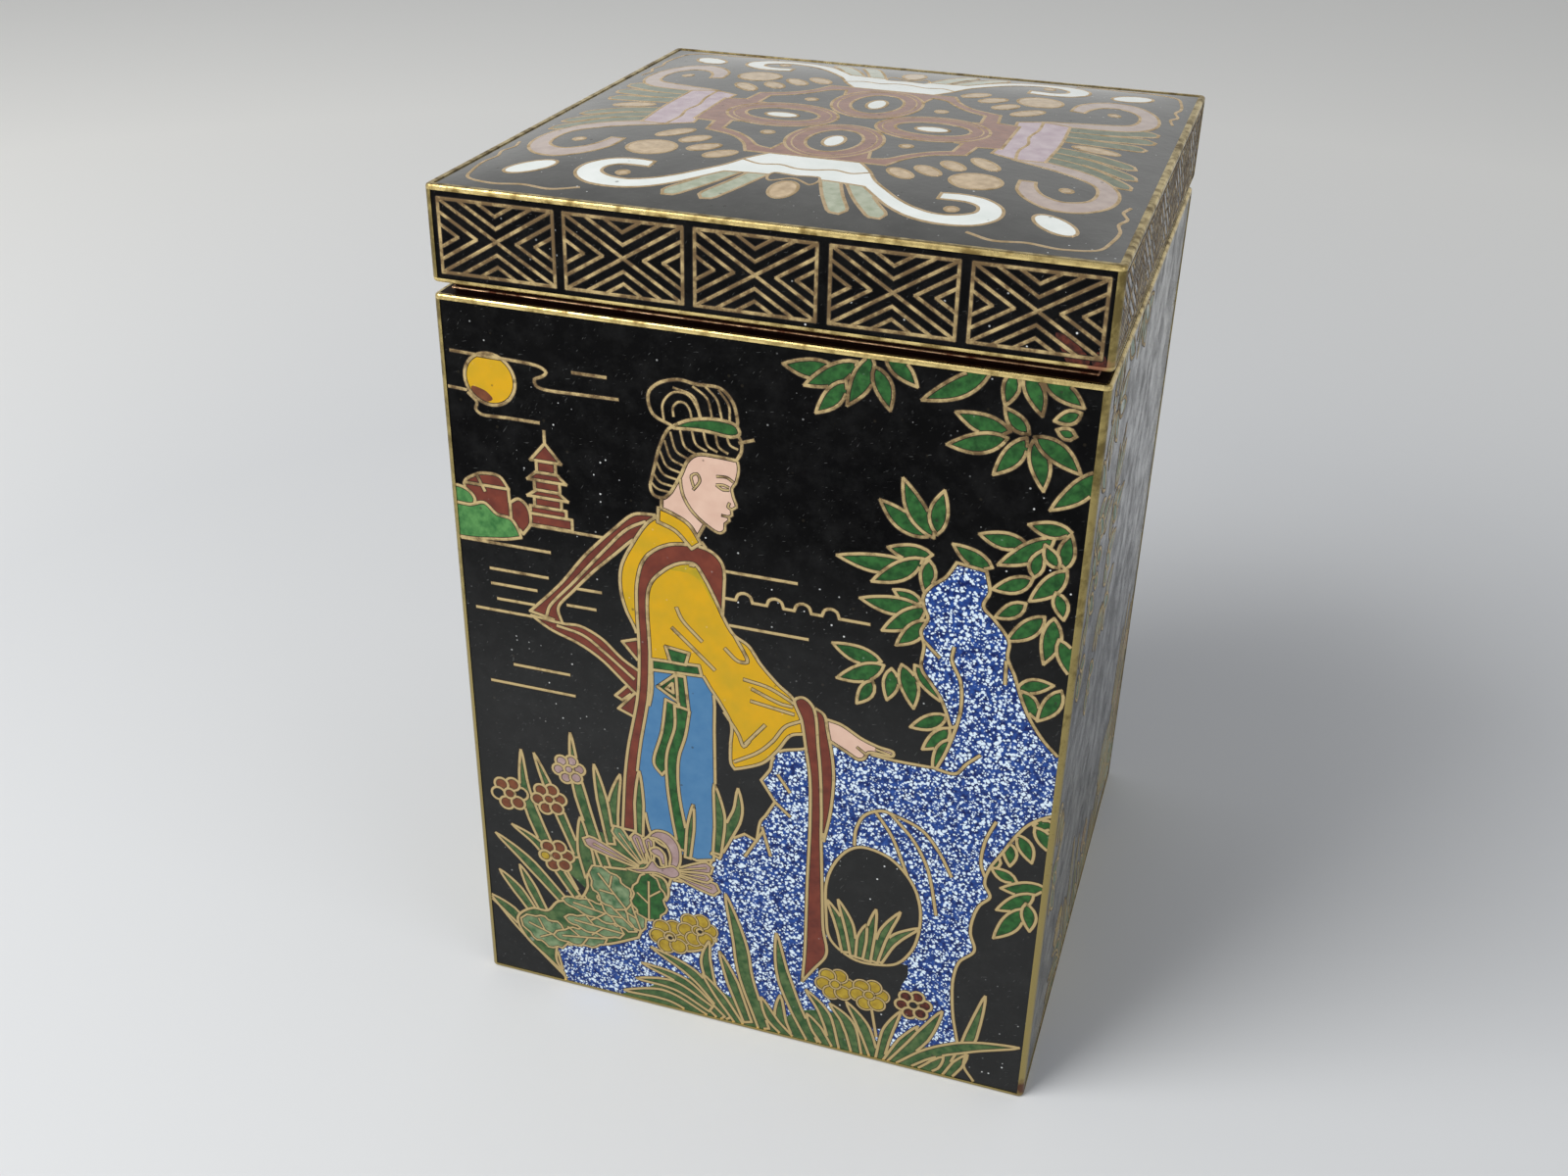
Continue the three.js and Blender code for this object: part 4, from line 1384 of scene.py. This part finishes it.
def lid_pattern(picture):
    """The four-armed medallion, the same in each quarter of the lid."""
    quarters = ((1, 1), (-1, 1), (-1, -1), (1, -1))
    white_arm = [
        (4.6, 14.9, 1), (6.2, 17.3), (7.5, 20), (9, 22), (11, 24.3), (13, 25.8), (15, 26.5), (17, 26.1),
        (18.2, 25), (18.1, 23.6), (17, 22.8), (14.2, 22.8, 1), (14.2, 21.2, 1), (16, 20.9), (18.5, 21.4),
        (20.4, 23.4), (20.5, 26), (18.8, 28), (16, 28.6), (13, 28), (10.5, 26.3), (8.5, 24), (6.9, 21.9, 1),
        (3.5, 21.5),
    ]
    mauve_arm = [
        (21.3, 7.2, 1), (24, 8), (27, 9.5), (29, 12), (29.7, 15), (29, 18.5), (27, 21), (24.5, 21.6),
        (22, 20), (20.5, 17.5), (20.2, 14.5, 1), (21.7, 14.4, 1), (22, 16), (23.1, 18), (25, 18.9),
        (27, 17.6), (27.6, 15), (27, 12.4), (25, 10.8), (22, 9.4), (18.5, 8.1), (15.8, 6.5, 1),
    ]
    for across, up in quarters:
        for start, middle, end in (((3.4, 21), (4.8, 25), (6.6, 29)), ((6, 21.2), (7.8, 25), (10.4, 29))):
            finger = strip(turned([start, middle, end], across, up), 1.9, lambda t: round_end(t, 0.85))
            picture.cell(finger, "celadon", rounded=False)
        for start, middle, end in (
            ((20.8, 2.2), (25, 2.6), (29.8, 4)), ((20.8, 4.2), (25, 5), (30.3, 7.6)),
            ((20.8, 6.2), (25, 7.4), (30.2, 11)),
        ):
            feather = strip(turned([start, middle, end], across, up), 2.0, lambda t: round_end(t, 0.85))
            picture.cell(feather, "feather", rounded=False)
    for sign in (1, -1):
        left = [(-p[0], *p[1:]) for p in white_arm[::-1]]
        picture.cell(turned(white_arm + left, 1, sign), "white")
        picture.line(
            turned(
                [
                    (-6.4, 17.8), (-4.4, 18.7), (-2.4, 18.3), (-0.6, 19), (1, 18.9), (3, 18.2), (4.8, 18.7),
                    (6.4, 17.8),
                ],
                1, sign,
            )
        )
        picture.cell(
            turned(
                [(2.2, 20.8), (0, 21), (-2.2, 20.8), (-2.5, 22), (-2, 23), (0, 21.8), (2, 23), (2.5, 22)], 1,
                sign,
            ),
            "black", 0.8,
        )
        picture.cell(oval(0, 24.9 * sign, 1.3, 2.2), "lid_tan")
    for across, up in quarters:
        picture.cell(turned(mauve_arm, across, up), "lid_lilac")
    for sign in (1, -1):
        panel = [
            (15.8, -6.6, 1), (18.5, -7.8), (21.3, -7.4, 1), (21.6, 0), (21.3, 7.4, 1), (18.5, 7.8),
            (15.8, 6.6, 1), (16.3, 0),
        ]
        picture.cell(turned(panel, sign, 1), "mauve")
        picture.line(
            turned([(18.4, -7.6), (18.1, -4.4), (18.5, -1.6), (18.1, 1), (18.5, 4.2), (18.4, 7.6)], sign, 1)
        )
        picture.cell(oval(25.2 * sign, 0, 2.4, 0.95), "lid_tan")
    for across, up in quarters:
        outwards = 45 * across * up
        picture.cell(oval(25.5 * across, 25.3 * up, 2.7, 1.5, outwards), "white")
        picture.cell(oval(16.4 * across, 16.7 * up, 2.5, 2.4), "lid_tan")
        for u, v, reach in ((16.1, 10.9, 2.2), (13.3, 12.7, 1.7), (11.4, 15.2, 1.8), (9.1, 16.9, 1.8)):
            picture.cell(oval(u * across, v * up, reach, 0.95, (50 - 4 * (u < 12)) * across * up), "lid_tan")
        for u, v in ((16, 25), (24.8, 15.4)):
            picture.cell(oval(u * across, v * up, 0.6, 0.6, count=12), "lid_tan")
        edge = [
            (31, 16.5), (30.6, 18.4), (31.2, 20), (30.7, 22), (31.1, 24), (30.8, 27), (30, 29.6), (27, 30.6),
            (24, 30.2), (21, 30.6), (18.5, 29.6),
        ]
        picture.line(turned(edge, across, up))
    corner = [(7.2, 15, 1), (8.4, 12.2), (10.4, 10), (13.6, 8.6, 1), (14, 5.2, 1), (16.4, 4.8, 1)]
    outline = []
    for across, up in quarters:
        row = turned(corner, across, up)
        outline += row if across * up < 0 else row[::-1]
    picture.cell(outline, "lid_red")
    for across, up in quarters:
        window = [
            (5, 13.4, 1), (6.6, 12.8), (8.2, 10.7), (10, 8.9), (12.1, 7.7, 1), (12.3, 4.4, 1), (8, 4),
            (3.4, 3.4, 1), (4, 8),
        ]
        picture.cell(turned(window, across, up), "black")
        picture.cell(oval(7.3 * across, 7.6 * up, 0.65, 0.65, count=12), "lid_tan")
    picture.cell(oval(0, 0, 4.4, 4.4), "black")
    for sign in (1, -1):
        for u, v, half_u, half_v in ((0, 8.2, 4.9, 6.4), (8.2, 0, 6.0, 4.9)):
            u, v = u * sign, v * sign
            upright = half_v > half_u
            picture.cell(oval(u, v, half_u, half_v, count=36), "lid_red")
            picture.line([*oval(u, v, half_u - 0.7, half_v - 0.7, count=30), (u + half_u - 0.7, v)], 0.5)
            picture.cell(oval(u, v, *((2.8, 4.3) if upright else (4.0, 2.6)), count=32), "black")
            picture.cell(oval(u, v - 0.2, *((1.05, 2.1) if upright else (1.8, 1.0))), "white")


# Settings that a user would change


class EnamelSizes(bpy.types.PropertyGroup):
    """Sizes of the wires and the polish of the enamel."""

    wire_width: bpy.props.FloatProperty(
        name="Wire Width", description="Width of the wires between the cells, in millimetres", default=0.34,
        min=0.2, max=0.8,
    )
    wire_relief: bpy.props.FloatProperty(
        name="Wire Relief", description="How far the wires stand above the black ground, in millimetres",
        default=0.04, min=0.02, max=0.095,
    )
    polish: bpy.props.FloatProperty(
        name="Polish", description="Roughness of the polished enamel", default=0.1, min=0.02, max=0.6,
        subtype="FACTOR",
    )


class EnamelColours(bpy.types.PropertyGroup):
    """Main tones of the enamels and metals."""

    gilt_wire: bpy.props.FloatVectorProperty(
        name="Gilt Wire", description="Tone of the wires between the cells", default=(0.60, 0.46, 0.23),
        subtype="COLOR", min=0, max=1,
    )
    # Kept dark for tarnish and for painted shade of the gap under the lid.
    copper_sheet: bpy.props.FloatVectorProperty(
        name="Copper Sheet", description="Tone of the bare copper", default=(0.11, 0.038, 0.022),
        subtype="COLOR", min=0, max=1,
    )
    yellow_enamel: bpy.props.FloatVectorProperty(
        name="Yellow Enamel", description="Tone of the jacket and moon", default=ENAMELS["yellow"][1],
        subtype="COLOR", min=0, max=1,
    )
    red_brown_enamel: bpy.props.FloatVectorProperty(
        name="Red-brown Enamel", description="Tone of the ribbons and roofs", default=ENAMELS["red_brown"][1],
        subtype="COLOR", min=0, max=1,
    )
    blue_enamel: bpy.props.FloatVectorProperty(
        name="Blue Enamel", description="Tone of the skirt", default=ENAMELS["blue"][1], subtype="COLOR",
        min=0, max=1,
    )


class StudioSettings(bpy.types.PropertyGroup):
    """The floor and the lights."""

    floor_radius: bpy.props.FloatProperty(
        name="Floor Radius", description="Radius of the round floor", default=1.6, min=0.5, max=5.0,
        unit="LENGTH", subtype="DISTANCE",
    )
    key_power: bpy.props.FloatProperty(
        name="Key Power", description="Power of the large soft light", default=4.5, min=0.0, max=100.0,
        unit="POWER",
    )
    sky_strength: bpy.props.FloatProperty(
        name="Sky Strength", description="Strength of the even light from all round", default=0.5, min=0.0,
        max=5.0,
    )


# Operators


def new_picture(field):
    """An empty picture as large as one of the frame's enamel fields."""
    low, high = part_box(field)
    half = max(high.x - low.x, high.y - low.y) / 2 / MM
    bottom, top = (-half, half) if field == "lid_top_enamel" else (low.z / MM, high.z / MM)
    return Picture(-half, bottom, half, top, bpy.context.scene.enamel_sizes.wire_width)


class BOX_OT_metal(bpy.types.Operator):
    """Gives the copper pieces and the gilt edge wires their finish"""

    bl_idname = "enamel_box.metal"
    bl_label = "Finish Metal"

    def execute(self, context):
        found = 0
        for name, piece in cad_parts.items():
            if "enamel" in name:
                continue
            gilt = "rim" in name or "corner_wire" in name
            material = edge_wire("corner" in name or "foot" in name) if gilt else copper()
            piece.data.materials.clear()
            piece.data.materials.append(material)
            found += 1
        if not found:
            raise RuntimeError("the frame has no metal pieces")
        return {"FINISHED"}


class BOX_OT_solder(bpy.types.Operator):
    """Runs the fine solder line round the foot of the collar"""

    bl_idname = "enamel_box.solder"
    bl_label = "Run Solder Line"

    def execute(self, context):
        half = -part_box("collar")[0].x / MM
        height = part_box("body_mouth_rim")[1].z / MM + SOLDER_RISE
        for name in SIDES:
            runs = [(np.array([(-half, height), (half, height)]), SOLDER_WIDTH)]
            points, strips = ribbon(runs, on_side(name, "collar"), *SOLDER_SECTION)
            add_piece(f"solder_line_{name}", points, strips, solder())
        return {"FINISHED"}


class BOX_OT_ground(bpy.types.Operator):
    """Gives the black enamel fields their finish"""

    bl_idname = "enamel_box.ground"
    bl_label = "Finish Black Ground"

    def execute(self, context):
        for name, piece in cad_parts.items():
            if "enamel" in name:
                piece.data.materials.clear()
                # The front fields get the dimmed reflections of painted shade.
                piece.data.materials.append(enamel("black", DIMMED_REFLECTION_BLACK if "front" in name else SIDE_BLACK))
        return {"FINISHED"}


class BOX_OT_front(bpy.types.Operator):
    """Lays the garden scene on the front"""

    bl_idname = "enamel_box.front"
    bl_label = "Lay Front Scene"

    def execute(self, context):
        picture = new_picture("body_enamel_front")
        sky(picture)
        tower(picture)
        shore(picture)
        bamboo(picture, BAMBOO_TOP + BAMBOO_LEFT + BAMBOO_RIGHT + BAMBOO_MIDDLE + BAMBOO_LOW)
        garden_rock(picture)
        robe(picture)
        head(picture)
        foreground(picture)
        lay_picture(picture, "front", on_side("front"), DIMMED_REFLECTION, cell_wire())
        return {"FINISHED"}


class BOX_OT_sides(bpy.types.Operator):
    """Lays the plainer scenes on the right, back and left sides"""

    bl_idname = "enamel_box.sides"
    bl_label = "Lay Other Sides"

    def execute(self, context):
        for name, draw in (("right", right_side), ("back", back_side), ("left", left_side)):
            picture = new_picture(f"body_enamel_{name}")
            draw(picture)
            lay_picture(picture, name, on_side(name), SIDE, cell_wire())
        return {"FINISHED"}


class BOX_OT_bands(bpy.types.Operator):
    """Lays the chevron band round the lid"""

    bl_idname = "enamel_box.bands"
    bl_label = "Lay Lid Bands"

    def execute(self, context):
        for name in SIDES:
            picture = new_picture(f"lid_band_enamel_{name}")
            if name == "front":
                picture.cell(
                    [
                        (27.6, 90.4), (28.6, 90.2), (30, 89.2), (30.8, 88.3), (30.6, 87.7), (29, 87.7),
                        (28.3, 88.8),
                    ],
                    "bleed", 0,
                )
                picture.cell(
                    [(30.9, 88.9), (31.7, 89.1), (32.2, 88.5), (32.2, 87.7), (31.2, 87.7)], "bleed", 0,
                )
            chevron_band(picture)
            lay_picture(picture, f"band_{name}", on_side(name), DIMMED_REFLECTION, cell_wire())
        return {"FINISHED"}


class BOX_OT_lid_top(bpy.types.Operator):
    """Lays the medallion on the lid's crowned top"""

    bl_idname = "enamel_box.lid_top"
    bl_label = "Lay Lid Top"

    def execute(self, context):
        picture = new_picture("lid_top_enamel")
        place = on_lid()
        verts, faces, _ = picture.partition(1.0)
        points, plates = slab(verts, faces, -0.35, 0.0, place)
        # The lid's black sheet is made lighter as painted sheen.
        sheet = add_piece("lid_top_black", points, plates, enamel("lid_sheen_black", LID_BLACK))
        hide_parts("lid_top_enamel")
        lid_pattern(picture)
        lay_picture(picture, "lid_top", place, LID, lid_sheen_wire(), 1.5, False)
        return {"FINISHED"}


class BOX_OT_stage(bpy.types.Operator):
    """Sets the floor, the soft lights and the camera"""

    bl_idname = "enamel_box.stage"
    bl_label = "Set Stage"

    def execute(self, context):
        settings = context.scene.studio_settings
        add_floor(settings.floor_radius)
        add_light(
            "Key light", (-0.34, -0.36, 0.50), (0, 0, 0.05), 0.42, settings.key_power, (1.0, 0.99, 0.97),
        )
        add_light(
            "Fill light", (0.50, -0.25, 0.35), (0, 0, 0.05), 0.40, settings.key_power * 0.12,
            (0.93, 0.95, 1.0),
        )
        world = bpy.data.worlds.new("Studio")
        world.use_nodes = True
        tree = world.node_tree
        way = node(tree, "ShaderNodeTexCoord").outputs["Generated"]
        up = node(tree, "ShaderNodeSeparateXYZ", {0: way}).outputs["Z"]
        shade = blend(tree, spread(tree, up, 0.05, 0.75), (1.45, 1.45, 1.42, 1), (0.62, 0.63, 0.66, 1))
        tree.links.new(shade, tree.nodes["Background"].inputs["Color"])
        tree.nodes["Background"].inputs["Strength"].default_value = settings.sky_strength
        context.scene.world = world
        context.scene.view_settings.view_transform = "Standard"
        add_camera()
        return {"FINISHED"}


def add_floor(radius):
    """A round pale floor that grows lighter towards its edge."""
    bpy.ops.mesh.primitive_circle_add(vertices=96, radius=radius, fill_type="NGON", location=(0, 0, 0))
    floor = bpy.context.object
    floor.name = "floor"
    material = bpy.data.materials.new("pale floor")
    material.use_nodes = True
    tree = material.node_tree
    place = node(tree, "ShaderNodeTexCoord").outputs["Object"]
    away = node(tree, "ShaderNodeVectorMath", {0: place}, operation="LENGTH").outputs["Value"]
    shade = blend(tree, spread(tree, away, 0.16, 0.42), (0.66, 0.675, 0.69, 1), (0.88, 0.88, 0.855, 1))
    tree.links.new(shade, tree.nodes["Principled BSDF"].inputs["Base Color"])
    tree.nodes["Principled BSDF"].inputs["Roughness"].default_value = 0.7
    floor.data.materials.append(material)


def add_light(name, place, target, size, power, colour):
    """A soft square light that faces a point."""
    light = bpy.data.lights.new(name, "AREA")
    light.size = size
    light.energy = power
    light.color = colour
    lamp = bpy.data.objects.new(name, light)
    lamp.location = place
    lamp.rotation_euler = (Vector(target) - Vector(place)).to_track_quat("-Z", "Y").to_euler()
    bpy.context.scene.collection.objects.link(lamp)


def add_camera():
    """The camera of the photograph, from the box's own corners."""
    camera = bpy.data.cameras.new("Camera")
    camera.lens = 38.044
    camera.sensor_width = 36
    camera.clip_start = 0.01
    view = bpy.data.objects.new("Camera", camera)
    right, down = (0.9504, 0.31044, 0.01939), (0.16948, -0.46457, -0.86916)
    forward = (-0.26081, 0.82934, -0.49414)
    place = (0.046379, -0.169322, 0.141574)
    turn = Matrix((right, [-c for c in down], [-c for c in forward])).transposed()
    view.matrix_world = Matrix.Translation(place) @ turn.to_4x4()
    bpy.context.scene.collection.objects.link(view)
    bpy.context.scene.camera = view


SETTINGS = {"enamel_sizes": EnamelSizes, "enamel_colours": EnamelColours, "studio_settings": StudioSettings}
OPERATORS = (
    BOX_OT_metal, BOX_OT_solder, BOX_OT_ground, BOX_OT_front, BOX_OT_sides, BOX_OT_bands, BOX_OT_lid_top,
    BOX_OT_stage,
)


class BOX_PT_panel(bpy.types.Panel):
    """The steps and settings of the box"""

    bl_idname = "BOX_PT_panel"
    bl_label = "Enamel Box"
    bl_space_type = "VIEW_3D"
    bl_region_type = "UI"
    bl_category = "Enamel Box"

    def draw(self, context):
        for name, group in SETTINGS.items():
            for key in group.__annotations__:
                self.layout.prop(getattr(context.scene, name), key)
        for operator in OPERATORS:
            self.layout.operator(operator.bl_idname)


CLASSES = (*SETTINGS.values(), *OPERATORS, BOX_PT_panel)


def register():
    """Adds the settings, steps and panel."""
    for made in CLASSES:
        bpy.utils.register_class(made)
    for name, group in SETTINGS.items():
        setattr(bpy.types.Scene, name, bpy.props.PointerProperty(type=group))


def unregister():
    """Takes them away again."""
    for name in SETTINGS:
        delattr(bpy.types.Scene, name)
    for made in reversed(CLASSES):
        bpy.utils.unregister_class(made)


def main():
    """Builds the whole box."""
    register()
    bpy.ops.enamel_box.metal()
    bpy.ops.enamel_box.solder()
    bpy.ops.enamel_box.ground()
    bpy.ops.enamel_box.front()
    bpy.ops.enamel_box.sides()
    bpy.ops.enamel_box.bands()
    bpy.ops.enamel_box.lid_top()
    bpy.ops.enamel_box.stage()


if __name__ == "__main__":
    main()
